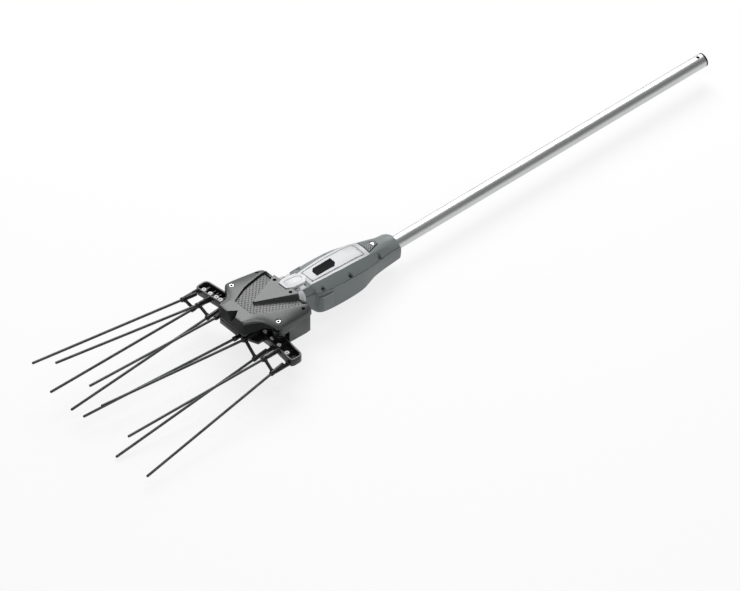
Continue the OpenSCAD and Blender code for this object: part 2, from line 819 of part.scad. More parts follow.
disc_r = crank_throw + crank_pin_r + 2.5;
module crank_shaft() {
  color("silver") {
    upright(crank_x, 0, crank_seat_z, crank_r, disc_z - crank_seat_z + eps);
    upright(crank_x, 0, disc_z, disc_r, disc_t);
    upright(pin_x, pin_y, disc_z + disc_t - eps, crank_pin_r, roller_h + 2);
  }
}

module bevel_gear() {
  color("slategray") translate([crank_x, 0, lay_z]) rotate([180, 0, 0]) rotate([0, 0, 180 / bevel_gear_teeth])
    bevel_wheel(bevel_gear_teeth, bevel_pinion_teeth, bevel_mod, crank_r);
}

module crank_roller() {
  color("goldenrod") translate([pin_x, pin_y, roller_z]) difference() {
    cylinder(r = roller_d / 2, h = roller_h);
    translate([0, 0, -1]) cylinder(r = crank_pin_r, h = roller_h + 2);
  }
}

// Yoke: a slotted plate on two rods, with a cross bar that carries the lever pins
yoke_wall = 6;
yoke_pin_y = pivot_y - lever_arm;
module yoke_slider() {
  frame_half = slot_half + yoke_wall;
  slot_reach = crank_throw + roller_d / 2 + 1;
  color("steelblue") difference() {
    union() {
      translate([pin_x - frame_half, -rod_y - 5, yoke_z]) cube([2 * frame_half, 2 * rod_y + 10, yoke_t]);
      translate([pin_x + frame_half - eps, -8, yoke_z]) cube([pivot_x - pin_x - frame_half, 16, yoke_t]);
      translate([pivot_x - 6, -yoke_pin_y - 6, yoke_z]) cube([12, 2 * yoke_pin_y + 12, yoke_t]);
    }
    translate([pin_x - slot_half, -slot_reach, yoke_z - 1]) cube([2 * slot_half, 2 * slot_reach, yoke_t + 2]);
    both_sides() along_x(pin_x - frame_half - 1, rod_r + run_gap, 2 * frame_half + 2,
      yoke_z + yoke_t / 2, rod_y);
    both_sides() upright(pivot_x, yoke_pin_y, yoke_z - 1, yoke_pin_r, yoke_t + 2);
  }
}

module yoke_pins() {
  color("silver") both_sides()
    upright(pivot_x, yoke_pin_y, lever_z - 1, yoke_pin_r, yoke_z + yoke_t - lever_z + 1);
}

module yoke_rods() {
  color("silver") both_sides() along_x(crank_x - rod_half, rod_r, 2 * rod_half, yoke_z + yoke_t / 2, rod_y);
}

// Rakes: one side is drawn on the left and mirrored for the right
module side(s) {
  mirror([0, s < 0 ? 1 : 0, 0]) children();
}

function bar_x(y) = bar_mid_x + tan(bar_sweep) * (y - bar_mid_y);
function bar_front(y) = bar_x(y) + bar_w / 2 / cos(bar_sweep);

module bar_outline(inner, inset) {
  half = bar_w / 2 / cos(bar_sweep) - inset;
  y0 = inner + inset;
  y1 = bar_reach - inset;
  polygon([[bar_x(y0) - half, y0], [bar_x(y0) + half, y0], [bar_x(y1) + half, y1], [bar_x(y1) - half, y1]]);
}

module rake_bar(inner, ys) {
  color("black") difference() {
    union() {
      difference() {
        translate([0, 0, bar_z]) linear_extrude(bar_h) bar_outline(inner, 0);
        translate([0, 0, bar_z + bar_wall]) linear_extrude(bar_h) bar_outline(inner, bar_wall);
      }
      upright(pivot_x, pivot_y, bar_z, hub_r, lever_z - bar_z);
    }
    upright(pivot_x, pivot_y, bar_z - 1, pivot_r + bush_t, big);
    for (y = ys) upright(bar_x(y) + screw_ahead, y, bar_z + bar_wall, bar_screw_r + air_gap, big);
  }
}

// Lever with a hub on the bar's hub and a slot for the yoke's pin
module rake_lever() {
  end_y = yoke_pin_y - 7;
  color("dimgray") difference() {
    union() {
      upright(pivot_x, pivot_y, lever_z, hub_r, hub_top - lever_z);
      translate([pivot_x - 7, end_y, lever_z]) cube([14, pivot_y - end_y, lever_t]);
    }
    upright(pivot_x, pivot_y, lever_z - 1, pivot_r + bush_t, big);
    translate([pivot_x - yoke_pin_r - slot_gap, end_y - 1, lever_z - 1])
      cube([2 * (yoke_pin_r + slot_gap), 1 + yoke_pin_y + yoke_pin_r + 1 - end_y, lever_t + 2]);
  }
}

module rake_bush() {
  color("goldenrod") translate([pivot_x, pivot_y, bar_z]) difference() {
    cylinder(r = pivot_r + bush_t, h = hub_top - bar_z);
    translate([0, 0, -1]) cylinder(r = pivot_r + run_gap, h = big);
  }
}

bar_screw_h = bar_h - bar_wall - 3;
bar_screw_r = 4;
screw_ahead = 5;
module rake_screws(ys) {
  color("silver") for (y = ys)
    translate([bar_x(y) + screw_ahead, y, bar_z + bar_wall + bar_screw_h])
      screw(bar_screw_r, 3, 2.5, bar_screw_h - 3);
}

function tine_base(t) = [bar_front(t[0]) + t[2], t[0], row_z + t[1] * layer_gap / 2];
flange_t = 3;
module aim(t) {
  translate(tine_base(t)) rotate([0, -t[4], t[3]]) rotate([0, 90, 0]) children();
}

module socket_solid(t) {
  back = bar_front(t[0]);
  along_x(back, socket_d / 2, t[2] - 10, row_z + t[1] * layer_gap / 2, t[0]);
  aim(t) translate([0, 0, -tine_seat - 4]) cylinder(r = socket_d / 2, h = tine_seat + 4);
}

module socket_bore(t) {
  aim(t) translate([0, 0, -tine_seat]) cylinder(r = tine_d / 2, h = tine_seat + 5);
}

// Holder of one or two sockets, on flanges against the bar's front wall
module holder(ts) {
  bridge_back = 5;
  color("black") difference() {
    union() {
      for (t = ts) {
        socket_solid(t);
        flange(t);
      }
      if (len(ts) > 1) hull() for (t = ts)
        aim(t) translate([0, 0, -bridge_back]) sphere(r = socket_d / 2 - 0.8, $fn = 16);
      if (ts[0][0] < left_bar_in) web(ts[0][0]);
    }
    for (t = ts) socket_bore(t);
    behind_bar_front();
  }
}

module flange(t) {
  half = socket_d / 2 + 0.5;
  high = bar_h / 2 - 1.2;
  translate([bar_front(t[0] - half) - 1, t[0] - half, t[1] > 0 ? row_z + 0.2 : row_z - 0.2 - high])
    cube([flange_t + 2, 2 * half, high]);
}

// Web from the bar's inner end to a socket that stands inside of it
module web(y) {
  near = left_bar_in + 20;
  reach = bar_front(y) + 32;
  translate([0, 0, bar_z + 1]) linear_extrude(5) polygon([[bar_front(near) - 1, near],
    [bar_front(left_bar_in) - 1, left_bar_in + 1], [bar_front(y), y - 3], [reach, y - 3], [reach, y + 3],
    [bar_front(near) + 14, near]]);
}

// Everything behind the plane of the bars' front wall
module behind_bar_front() {
  translate([0, 0, -big / 2]) linear_extrude(big) polygon([[bar_front(-big), -big], [bar_front(big), big],
    [bar_front(big) - 2 * big, big], [bar_front(-big) - 2 * big, -big]]);
}

module tine(t) {
  color("dimgray") aim(t) translate([0, 0, -tine_seat]) cylinder(r = tine_d / 2, h = tine_seat + tine_len);
}

pole_tube();
pole_end_ring();
shaft_bushes();
drive_shaft();
spur_pinion();
gearbox_frame();
gearbox_bearings();
layshaft();
spur_gear();
bevel_pinion();
neck_bearing();
housing_lower();
housing_upper();
housing_screws();
top_inlay();
badge_plate();
clamp_patch();
clamp_screw();
bridge_trim();
head_lower_cover();
head_upper_cover();
head_screws();
pivot_bolts();
nose_block();
crank_bridge();
crank_bearings();
crank_shaft();
bevel_gear();
crank_roller();
yoke_slider();
yoke_rods();
yoke_pins();
rake_bar(left_bar_in, screw_ys);  // left_bar
rake_lever();  // left_lever
rake_bush();  // left_bush
rake_screws(screw_ys);  // left_bar_screws
holder([left_tines[0], left_tines[1]]);  // left_holder_outer
holder([left_tines[2], left_tines[3]]);  // left_holder_middle
holder([left_tines[4]]);  // left_holder_inner
tine(left_tines[0]);  // left_tine_1
tine(left_tines[1]);  // left_tine_2
tine(left_tines[2]);  // left_tine_3
tine(left_tines[3]);  // left_tine_4
tine(left_tines[4]);  // left_tine_5
side(-1) rake_bar(right_bar_in, right_screw_ys);  // right_bar
side(-1) rake_lever();  // right_lever
side(-1) rake_bush();  // right_bush
side(-1) rake_screws(right_screw_ys);  // right_bar_screws
side(-1) holder([right_tines[0], right_tines[1]]);  // right_holder_outer
side(-1) holder([right_tines[2], right_tines[3]]);  // right_holder_middle
side(-1) holder([right_tines[4]]);  // right_holder_inner
side(-1) tine(right_tines[0]);  // right_tine_1
side(-1) tine(right_tines[1]);  // right_tine_2
side(-1) tine(right_tines[2]);  // right_tine_3
side(-1) tine(right_tines[3]);  // right_tine_4
side(-1) tine(right_tines[4]);  // right_tine_5
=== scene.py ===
import json
import math

import bmesh
import bpy
from bpy.props import FloatProperty, FloatVectorProperty, PointerProperty
from mathutils import Matrix, Vector


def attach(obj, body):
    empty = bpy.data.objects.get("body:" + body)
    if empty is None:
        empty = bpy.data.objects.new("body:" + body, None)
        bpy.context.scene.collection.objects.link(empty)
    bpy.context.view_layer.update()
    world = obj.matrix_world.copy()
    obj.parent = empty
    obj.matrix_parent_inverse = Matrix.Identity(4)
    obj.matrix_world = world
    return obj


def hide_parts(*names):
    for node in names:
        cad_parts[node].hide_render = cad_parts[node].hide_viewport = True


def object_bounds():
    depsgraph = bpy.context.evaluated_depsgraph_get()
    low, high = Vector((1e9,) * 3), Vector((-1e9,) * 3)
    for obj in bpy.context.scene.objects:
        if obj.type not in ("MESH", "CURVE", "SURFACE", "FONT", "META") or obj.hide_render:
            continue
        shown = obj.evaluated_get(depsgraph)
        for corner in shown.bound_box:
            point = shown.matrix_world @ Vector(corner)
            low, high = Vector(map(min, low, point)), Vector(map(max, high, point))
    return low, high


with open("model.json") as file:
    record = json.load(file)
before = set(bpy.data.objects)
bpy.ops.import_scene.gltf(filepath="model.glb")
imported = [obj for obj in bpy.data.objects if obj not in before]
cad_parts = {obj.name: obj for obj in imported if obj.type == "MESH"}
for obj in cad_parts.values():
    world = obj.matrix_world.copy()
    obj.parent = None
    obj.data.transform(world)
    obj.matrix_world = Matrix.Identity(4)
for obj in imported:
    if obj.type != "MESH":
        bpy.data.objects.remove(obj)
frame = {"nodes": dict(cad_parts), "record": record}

bl_info = {
    "name": "Olive harvester head",
    "version": (1, 0, 0),
    "blender": (4, 5, 0),
    "location": "View3D > Sidebar > Harvester",
    "description": "Dresses the packed olive harvester attachment and sets its studio stage",
    "category": "Add Mesh",
}

CAD_BOX = [list(corner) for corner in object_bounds()]
MM = 0.001
# Points that are closer, in metres, count as one
NEAR = 1e-6

# Places and sizes in millimetres, as in the part's source; x runs along the pole
PIVOT_X = 1051.0
PIVOT_Y = 62.0
CLAMP_X = 779.0
LOCK_HOLE_X, LOCK_HOLE_R = 10.0, 3.5
# Radius and place round the wall of the tube, from the bore's free end out and back
POLE_PROFILE = ((11.5, 0.0), (12.7, 0.0), (13.0, 0.3), (13.0, 24.0), (13.0, 730.0), (12.8, 730.0),
                (12.8, 790.0), (11.5, 790.0), (11.5, 24.0))
BAR_MID_X, BAR_MID_Y, BAR_SWEEP = 1061.5, 95.0, math.radians(6.3)
BAR_HALF = 27.0 / 2 / math.cos(BAR_SWEEP)
BAR_H, BAR_Z, BAR_REACH, BAR_CORNER = 15.0, 8.0, 128.0, 7.0
RIB_STEP, RIB_CLEAR, RIB_TOP, RIB_HALF, STAY_HALF, RIB_EDGE, RIB_GAP = 21, 16, 18.5, 0.9, 0.8, 0.3, 2
ROW_Z, LAYER_GAP = 16.0, 12.0
TINE_LEN, TINE_ROOT, TINE_FIT, TINE_RINGS = 313.0, -19.5, 0.02, (0.0, 80.0, 160.0, 240.0)
# Radius and height of a bar's screw boss and pivot hub, and of a tine's socket back from its mouth
BOSS = ((4.6, 0), (4.6, 8.4), (5.6, 8.4), (5.9, 7.8), (6.1, 0))
HUB = ((7.05, 0), (11, 0), (11, 18.0), (10.4, 18.5), (7.05, 18.5), (7.05, 0))
SOCKET = ((2.52, -20), (2.52, -0.5), (2.9, 0), (4.1, 0), (4.6, -0.6), (4.6, -7.4), (4.1, -8.2),
          (3.8, -9), (3.8, -31.5), (0, -31.5))
SOCKET_R, BRACE_R, BRACE_SET, BRACE_END_R, BRACE_END = 3.8, 3.0, 6, 3.7, (3.4, 5.6)
# Flange on the bar and upright web of a socket: ends from the bar, half width and edge
FLANGE, WEB, FLANGE_H, WEB_RISE = (0.6, 3.6, 4.5, 0.5), (2, 15, 1, 0.6), 6.3, 4.4

# Outermost tine first: distance from the centre line, row, socket length, yaw out and pitch up
RAKES = {
    "left": {
        "side": 1, "inner": 26.0, "screws": (37, 58, 79, 103),
        "tines": ((118.5, -1, 41, 5.1, -6.0), (90.7, 1, 40, 0.9, 2.5), (70.4, -1, 45, -1.5, -8.5),
                  (30.2, 1, 39, -2.8, 4.5), (8.0, -1, 43, -7.9, -4.4)),
    },
    "right": {
        "side": -1, "inner": 36.0, "screws": (76, 86, 100, 115),
        "tines": ((118.4, 1, 41, 7.0, 2.4), (97.4, -1, 39, 2.6, -2.5), (90.3, 1, 34, 3.0, 7.7),
                  (63.8, -1, 37, 0.0, -4.8), (44.3, 1, 35, -4.2, 8.0)),
    },
}
HOLDERS = (("outer", (0, 1)), ("middle", (2, 3)), ("inner", (4,)))

# Housing sections: x, top, shoulder y z, ledge y z, side y z, lower corner y z, underside y z, bottom
SECTIONS = (
    (730, 19.5, 12, 15.5, 20.0, 9.0, 22.0, -1, 20.5, -13.0, 12.0, -20.0, -21.0),
    (732, 21.4, 12.5, 17.4, 22.5, 10.8, 25.0, -1, 23.0, -15.0, 13.5, -22.0, -22.8),
    (744, 22.5, 13, 18.6, 23.0, 11.4, 25.6, -1, 23.4, -15.4, 13.5, -22.0, -23.0),
    (764, 28.3, 15.5, 24.2, 24.6, 12.8, 27.2, 0, 24.8, -15.4, 14.5, -21.8, -22.5),
    (782, 32.2, 17.6, 28.4, 27.6, 14.0, 30.0, 2, 27.6, -14.2, 16.0, -20.8, -21.6),
    (800, 35.4, 19.8, 32.2, 31.6, 16.8, 33.6, 4, 30.6, -13.2, 18.5, -20.4, -21.2),
    (818, 38.6, 22.6, 35.9, 36.6, 21.2, 38.4, 6, 37.4, -12.8, 26.0, -20.6, -21.2),
    (838, 41.2, 23.9, 39.2, 40.6, 24.8, 43.4, 8, 44.6, -13.2, 34.0, -20.6, -20.8),
    (885, 43.2, 23.9, 41.9, 41.0, 28.0, 44.0, 10, 45.2, -12.6, 36.0, -19.8, -19.8),
    (915, 43.4, 22.0, 42.3, 39.6, 29.6, 42.6, 10, 43.8, -11.8, 35.0, -19.0, -19.0),
    (930, 43.4, 20.4, 42.3, 37.6, 30.0, 40.8, 10, 41.4, -11.4, 33.0, -18.4, -18.4),
    (936.5, 43.2, 19.8, 42.1, 34.4, 30.0, 36.8, 10, 37.0, -10.6, 29.0, -17.0, -17.4),
    (938, 42.6, 19.4, 41.6, 27.4, 29.4, 28.6, 10, 28.4, -8.0, 24.0, -13.0, -13.6),
    (945, 42.3, 19.4, 41.3, 26.8, 28.4, 28.0, 11, 27.5, -4.0, 22.0, -9.6, -10.4),
    (984, 42.3, 20, 41.3, 26.8, 27.4, 28.0, 11, 27.5, -1.0, 22.0, -5.6, -6.4),
)
# Shell edges that stay sharp, by their place in a section
SHELL_CREASES = {"upper": {2: 0.6, -2: 0.6, 4: 0.9, -4: 0.9, 5: 0.9, -5: 0.9},
                 "lower": {0: 0.55, -1: 0.55, 4: 0.55, -5: 0.55}}
# Top panel and its field; steps give the margin and the rise of each inset
INLAY_HALF = ((800, 18.9), (806, 20.6), (818, 21.9), (835, 22.9), (872, 23.1), (908, 21.5), (938, 18.8))
INLAY_ENDS, INLAY_LIFT, SKIN_WALL, UPWARD = (800.6, 938.0), 0.9, 1.4, 0.6
FIELD_ENDS, FIELD_SHARE, FIELD_STEPS = (811, 931), 0.84, ((0.9, -1.0), (4.2, 1.3))
# Clamp patch and its gasket: ends, least half width and its gain, lift and wall; screw holes
PATCH, PATCH_STEPS = ((771, 798.6), 3.6, 10.4, 1.0, SKIN_WALL), ((0.8, -0.35),)
GASKET = ((769.4, 800.2), 5.0, 10.6, 0.35, 1.0)
CLAMP_FLOOR, PATCH_HOLE_R, GASKET_HOLE_R = 20, 4.6, 4.2
# Badge plate: rear, front, half width and corner cut
BADGE, BADGE_LOW, BADGE_TOP, BADGE_STEPS = (868.5, 915.0, 9.6, 6.0), 42.0, 45.0, ((0.9, -0.25),)
# Screw pockets: place, distance from the centre line and floor
POCKETS = ((783, 23.0, 9.0), (861, 35.0, 25.0), (922, 32.5, 30.0))
POCKET_LEAN = math.radians(24)
SIDE_PAD = ((904, 41.0), (919, 36.6), (932, 34.6), (936.6, 37.4), (931, 45.6), (908, 45.8))
SIDE_PAD_LOW, SIDE_PAD_TOP, SIDE_PAD_STEPS = -5.0, 24.6, ((1.3, 0.0), (0.28, -0.8))
# Neck trim: half of its arch, the plates made of it (ends and first point), and its pad, which rises forward
TRIM_ARCH = ((33.9, 27), (33.9, 38), (31.5, 43.5), (24, 49.0), (14, 50.6), (0, 51.0))
TRIM_PLATES, TRIM_WALL = ((952, 977.6, 3), (962, 977.6, 0)), 3.4
TRIM_PAD = ((937, -5.5), (947, -14), (975, -14.5), (987.5, -9.4), (987.5, 9.4), (975, 14.5), (947, 14),
            (937, 5.5))
PAD_LOW, PAD_TOP, PAD_RISE_X, PAD_RISE = 47, 53.0, 945, 0.15
PAD_STEPS = ((1.6, -0.5), (4.6, 0.0), (0.6, -0.9))

# Courses of the head's upper cover along the pole axis: a place and the value there
COVER_STATIONS = (978, 979.5, 982, 986, 992, 1000, 1008, 1016, 1024, 1032, 1040, 1046, 1051, 1053.4,
                  1054.6, 1058, 1062, 1066, 1070, 1074, 1077.4, 1078.6, 1082, 1086, 1092, 1098, 1103, 1106)
COVER_WIDTH = ((978, 66), (979.5, 68.4), (984, 70.4), (995, 72), (1012, 73.6), (1037, 75.2), (1050, 75.8),
               (1055, 75), (1058, 72.5), (1062, 67), (1066, 60.5), (1070, 53.5), (1074, 47.5), (1080, 42.5),
               (1086, 39.8), (1096, 36), (1103, 34.2), (1106, 33))
COVER_SHOULDER = ((978, 46), (984, 46.7), (995, 47.5), (1037, 52.5), (1055, 53.5), (1066, 55.5), (1074, 57.6),
                  (1086, 59.8), (1103, 62), (1106, 61.2))
COVER_EDGE = ((978, 36), (995, 37.5), (1012, 40), (1037, 44), (1049, 45.6), (1057, 46.6), (1062, 48.5),
              (1066, 51), (1070, 54), (1074, 55.6), (1086, 57), (1103, 59.5), (1106, 59))
COVER_SEAM = ((978, 34), (984, 34), (995, 35), (1037, 42.5), (1055, 45), (1065, 45.5), (1071, 43.8),
              (1081, 38), (1086, 36), (1106, 36))
COVER_RIDGE_Y = ((978, 56), (984, 55.5), (995, 53.5), (1037, 43), (1055, 35), (1066, 29.5), (1078, 23.4),
                 (1106, 22))
COVER_RIDGE_Z = ((978, 48.5), (984, 50.5), (995, 52.3), (1012, 55), (1037, 58.2), (1055, 59.8), (1066, 60.6),
                 (1078, 61.4), (1103, 62.6), (1106, 62))
CHANNEL_DROP = ((978, 4.6), (1037, 4.8), (1060, 3.6), (1077.4, 1.8))
TRIANGLE_Y = ((978, 32.6), (1053.4, 1.6), (1054.6, 1.2), (1106, 1.2))
TRIANGLE_Z = ((978, 56.8), (1053.4, 61))
TRIANGLE_TIP = 1054.0
CHANNEL_FRONT = 1078.0
COVER_SCREWS = ((987, 21.0, 51.0), (993, 62.0, 45.0))
NOSE_SCREW_X, NOSE_SCREW_SEAT = 1076.0, 57.0
COVER_SCREW_R, NOSE_SCREW_R, PIVOT_HOLE_R, PIVOT_FLOOR = 3.5, 3.2, 5.5, 40
# Sharpness of the cover's long edges, counted from the centre line out, and its cross edges: ends, tip, front
COVER_CREASES = {2: 0.75, 3: 0.9, 5: 0.95, 6: 0.75, 7: 0.35, 9: 0.1, 11: 0.45, 12: 1.0}
COVER_ENDS, TIP_STATIONS, FRONT_STATIONS = (978, 1106), (1053.4, 1054.6), (1077.4, 1078.6)
# Finishes of the cover's faces, and where the dark ones lie: the dark finish is painted shade in a strip at
# the foot of each ridge, and partly black plastic, partly painted shade on the nose skirt, front face and
# valley folds
DOTTED, BLACK_AND_PAINTED_SHADE = 1, 2
RIDGE_SHADE_FRONT, NOSE_REAR, NOSE_FACE = 1066, 1060, 1105.5
DOT_LEAN = math.radians(45)
# Top, foot and outer corner of the planes that fold the valley in the cover's front, and the room round it
VALLEY = ((1084.0, 0.0, 68.9), (1109.0, 0.0, 41.5), (1109.0, 17.6, 68.9))
VALLEY_REAR, VALLEY_HALF = 1080.0, 30.0
# Radius and height round a pivot bolt, from the floor of its socket
PIVOT_BOLT = ((0, 51.6), (2.4, 51.6), (2.4, 54.5), (2.8, 55.0), (4.0, 55.0), (4.6, 54.6), (4.9, 53.8),
              (4.98, 53.0), (4.98, -1.0), (0, -1.0))
BOLT_SOCKET_R, BOLT_SOCKET_Z = 2.5, 51.0


def mm(x, y, z):
    """A point given in millimetres."""
    return Vector((x * MM, y * MM, z * MM))


# Materials


class Term:
    """A value in a material's nodes, for use in plain expressions."""

    def __init__(self, board, socket):
        self.board = board
        self.socket = socket

    def __add__(self, other):
        return self.board.math("ADD", self, other)

    def __sub__(self, other):
        return self.board.math("SUBTRACT", self, other)

    def __rsub__(self, other):
        return self.board.math("SUBTRACT", other, self)

    def __mul__(self, other):
        return self.board.math("MULTIPLY", self, other)

    def __truediv__(self, other):
        return self.board.math("DIVIDE", self, other)

    __radd__ = __add__


class Board:
    """Builds one material from nodes."""

    def __init__(self, name):
        self.material = bpy.data.materials.new(name)
        self.material.use_nodes = True
        self.tree = self.material.node_tree
        self.tree.nodes.clear()

    def make(self, kind, sockets, **settings):
        """A node with its settings, and its inputs set or linked."""
        node = self.tree.nodes.new(kind)
        for key, value in settings.items():
            setattr(node, key, value)
        for key, value in sockets.items():
            if isinstance(value, Term):
                self.tree.links.new(value.socket, node.inputs[key])
            else:
                node.inputs[key].default_value = value
        return node

    def value(self, kind, sockets, output=0, **settings):
        """What a new node gives."""
        return Term(self, self.make(kind, sockets, **settings).outputs[output])

    def math(self, operation, *values):
        """Result of a math node."""
        return self.value("ShaderNodeMath", dict(enumerate(values)), operation=operation)

    def blend(self, amount, first, second):
        """From the first colour to the second."""
        return self.value("ShaderNodeMix", {0: amount, 6: first, 7: second}, 2, data_type="RGBA")

    def place(self, scale=(1, 1, 1)):
        """Object coordinates, scaled."""
        where = self.value("ShaderNodeTexCoord", {}, "Object")
        return self.value("ShaderNodeMapping", {"Vector": where, "Scale": scale})

    def axes(self, vector):
        """The three parts of a vector."""
        return [Term(self, out) for out in self.make("ShaderNodeSeparateXYZ", {0: vector}).outputs]

    def noise(self, scale, detail=2.0, stretch=(1, 1, 1)):
        """Noise over the object, long where the stretch is small."""
        where = self.place(stretch)
        return self.value("ShaderNodeTexNoise", {"Vector": where, "Scale": scale, "Detail": detail})

    def clamp(self, value, low, high):
        """Zero at low, one at high, straight between."""
        return self.value("ShaderNodeMapRange", {0: value, 1: low, 2: high}, clamp=True)

    def bump(self, height, depth):
        """Normal that a height gives."""
        return self.value("ShaderNodeBump", {"Height": height, "Strength": 1.0, "Distance": depth})

    def end(self, shader):
        """Ends the material with a shader."""
        self.make("ShaderNodeOutputMaterial", {0: shader})
        return self.material

    def surface(self, sockets):
        """Ends the material with a principled shader."""
        return self.end(self.value("ShaderNodeBsdfPrincipled", sockets))


def tone(colour, factor):
    """A colour made lighter or darker, with alpha."""
    return tuple(min(1.0, c * factor) for c in colour[:3]) + (1.0,)


def moulded(name, colour, rough, gloss=0.5, spread=0.12, grain=1500.0, depth=0.00001):
    """Moulded plastic: a fine spark-eroded grain and a faint cloudiness."""
    board = Board(name)
    cloud = board.noise(14.0, 3.0)
    pebble = board.noise(grain, 2.0)
    base = board.blend(board.clamp(cloud, 0.3, 0.7), tone(colour, 1 - spread), tone(colour, 1 + spread))
    return board.surface({
        "Base Color": base, "Roughness": (pebble - 0.5) * 0.18 + rough + (cloud - 0.5) * 0.08,
        "Specular IOR Level": gloss, "Normal": board.bump(pebble, depth)})


def brushed(name, colour, rough, stretch, scale=500.0, spread=0.12):
    """Metal with fine lines along the direction that the stretch leaves long."""
    board = Board(name)
    lines = board.noise(scale, 3.0, stretch)
    smudge = board.noise(20.0, 2.0)
    base = board.blend(lines, tone(colour, 1 - spread), tone(colour, 1 + spread))
    return board.surface({
        "Base Color": base, "Metallic": 1.0,
        "Roughness": (lines - 0.5) * 0.16 + (smudge - 0.5) * 0.1 + rough,
        "Normal": board.bump(lines, 0.00002)})


def dotted(name, colour, dot_painted_shade, pitch, radius):
    """Plastic with rows of sunk dots, coloured dark as painted shade in the dimples; the rows lean the same
    way on both sides of the centre line.
    """
    board = Board(name)
    x, y, _ = board.axes(board.place())
    out = board.math("ABSOLUTE", y)
    c, s = math.cos(DOT_LEAN), math.sin(DOT_LEAN)
    run = (x * c + out * s) / pitch
    row = (out * c - x * s) / pitch
    u = (board.math("FRACT", run) - 0.5) * pitch
    v = (board.math("FRACT", row) - 0.5) * pitch
    far = board.math("SQRT", u * u + v * v)
    dot = 1 - board.clamp(far, radius * 0.72, radius * 1.1)
    pebble = board.noise(1500.0)
    # The dots' dark colour is painted shade in the dimples
    base = board.blend(dot, tone(colour, 1.0), tone(dot_painted_shade, 1.0))
    return board.surface({
        "Base Color": base, "Roughness": (pebble - 0.5) * 0.15 + 0.4 + dot * 0.3,
        "Normal": board.bump(pebble * 0.05 - dot, 0.0006)})


def mottled(name, colour):
    """Pultruded composite rod: long streaks broken by flecks."""
    board = Board(name)
    streak = board.noise(240.0, 4.0, (0.16, 1, 1))
    fleck = board.noise(520.0, 3.0, (0.5, 1, 1))
    mix = board.clamp(streak * 0.6 + fleck * 0.4, 0.4, 0.62)
    base = board.blend(mix, tone(colour, 0.45), tone(colour, 1.9))
    return board.surface({
        "Base Color": base, "Roughness": 0.34 + mix * 0.16, "Normal": board.bump(fleck, 0.00005)})


FINISHES = {}


def finish(name):
    """The material of one finish, made on its first use."""
    if name not in FINISHES:
        look, sizes = bpy.context.scene.harvester_look, bpy.context.scene.harvester_sizes
        along_pole, even = (0.03, 1, 1), (1, 1, 1)
        makers = {
            "pole_metal": (brushed, look.pole, 0.42, along_pole, 900.0, 0.06),
            "shaft_steel": (brushed, (0.60, 0.60, 0.62), 0.3, along_pole),
            "gear_steel": (brushed, (0.38, 0.39, 0.41), 0.38, even),
            "bearing_steel": (brushed, (0.55, 0.57, 0.60), 0.28, even),
            "screw_steel": (brushed, (0.62, 0.62, 0.63), 0.34, even, 900.0),
            "screw_pale": (moulded, (0.6, 0.6, 0.61), 0.35),
            # Dark metal that paints the shade of the screw pockets on the screws at their floors
            "screw_dark": (brushed, (0.05, 0.05, 0.055), 0.42, even, 900.0),
            # Black plastic, which the cover also uses as painted shade
            "nose_black": (moulded, (0.016, 0.017, 0.017), 0.5, 0.12),
            # Near-black that paints the shade inside the pivot bolts' sockets
            "socket_black": (moulded, (0.006, 0.006, 0.006), 0.6, 0.1),
            "bronze": (brushed, (0.32, 0.23, 0.11), 0.5, even),
            "cast_frame": (brushed, (0.48, 0.48, 0.49), 0.55, even, 300.0),
            "ring_plastic": (moulded, (0.012, 0.012, 0.012), 0.5, 0.15),
            "bush_plastic": (moulded, (0.08, 0.08, 0.08), 0.5),
            "housing_grey": (moulded, look.housing, 0.48, 0.5, 0.05),
            "inlay_silver": (moulded, look.inlay, 0.36, 0.5, 0.03, 2200.0, 0.00002),
            "trim_pale": (moulded, look.trim, 0.34, 0.5, 0.03, 2200.0, 0.00002),
            "badge_black": (moulded, (0.006, 0.006, 0.006), 0.6, 0.06, 0.1, 900.0),
            # The second colour of each dotted finish is painted shade in the dots
            "patch_grey": (dotted, (0.17, 0.185, 0.185), (0.045, 0.05, 0.05), 0.0034, 0.0011),
            "cover_grey": (moulded, look.cover, 0.40, 0.5, 0.05),
            "cover_dotted": (dotted, tone(look.cover, 1.05), tone(look.cover, 0.18),
                             sizes.dot_pitch, sizes.dot_radius),
            "cover_dark": (moulded, look.lower_cover, 0.46, 0.5, 0.06),
            "rake_black": (moulded, look.rake, 0.33, 0.35, 0.15, 1100.0, 0.00003),
            "tine_composite": (mottled, look.tine),
        }
        maker, *values = makers[name]
        FINISHES[name] = maker(name, *values)
    return FINISHES[name]


# Mesh helpers


def fresh_key(vert):
    """Key that finds the copy of a point right after an extrusion."""
    return tuple(round(c, 7) for c in vert.co)


def loft(bm, sections, closed=True):
    """Extrudes a chain of edges through a list of sections with the same number of points."""
    row = [bm.verts.new(p) for p in sections[0]]
    count = len(row)
    edges = [bm.edges.new((row[i], row[(i + 1) % count])) for i in range(count if closed else count - 1)]
    rows = [row]
    for points in sections[1:]:
        made = bmesh.ops.extrude_edge_only(bm, edges=edges)["geom"]
        at = {fresh_key(g): g for g in made if isinstance(g, bmesh.types.BMVert)}
        row = [at[fresh_key(v)] for v in row]
        for vert, point in zip(row, points):
            vert.co = point
        members = set(row)
        edges = [g for g in made if isinstance(g, bmesh.types.BMEdge) and set(g.verts) <= members]
        rows.append(row)
    return rows


def crease(bm, verts, amount):
    """Sharpens the edges between the given points."""
    layer = bm.edges.layers.float.get("crease_edge") or bm.edges.layers.float.new("crease_edge")
    members = set(verts)
    for edge in {e for v in verts for e in v.link_edges}:
        if set(edge.verts) <= members:
            edge[layer] = amount


def outward(bm):
    """Turns every face outward."""
    bmesh.ops.recalc_face_normals(bm, faces=bm.faces)


def pull(bm, face, way):
    """Extrudes a face along a vector, keeps the face, and returns the moved one."""
    made = bmesh.ops.extrude_face_region(bm, geom=[face], use_keep_orig=True)["geom"]
    top = next(g for g in made if isinstance(g, bmesh.types.BMFace))
    bmesh.ops.translate(bm, verts=list(top.verts), vec=way)
    return top


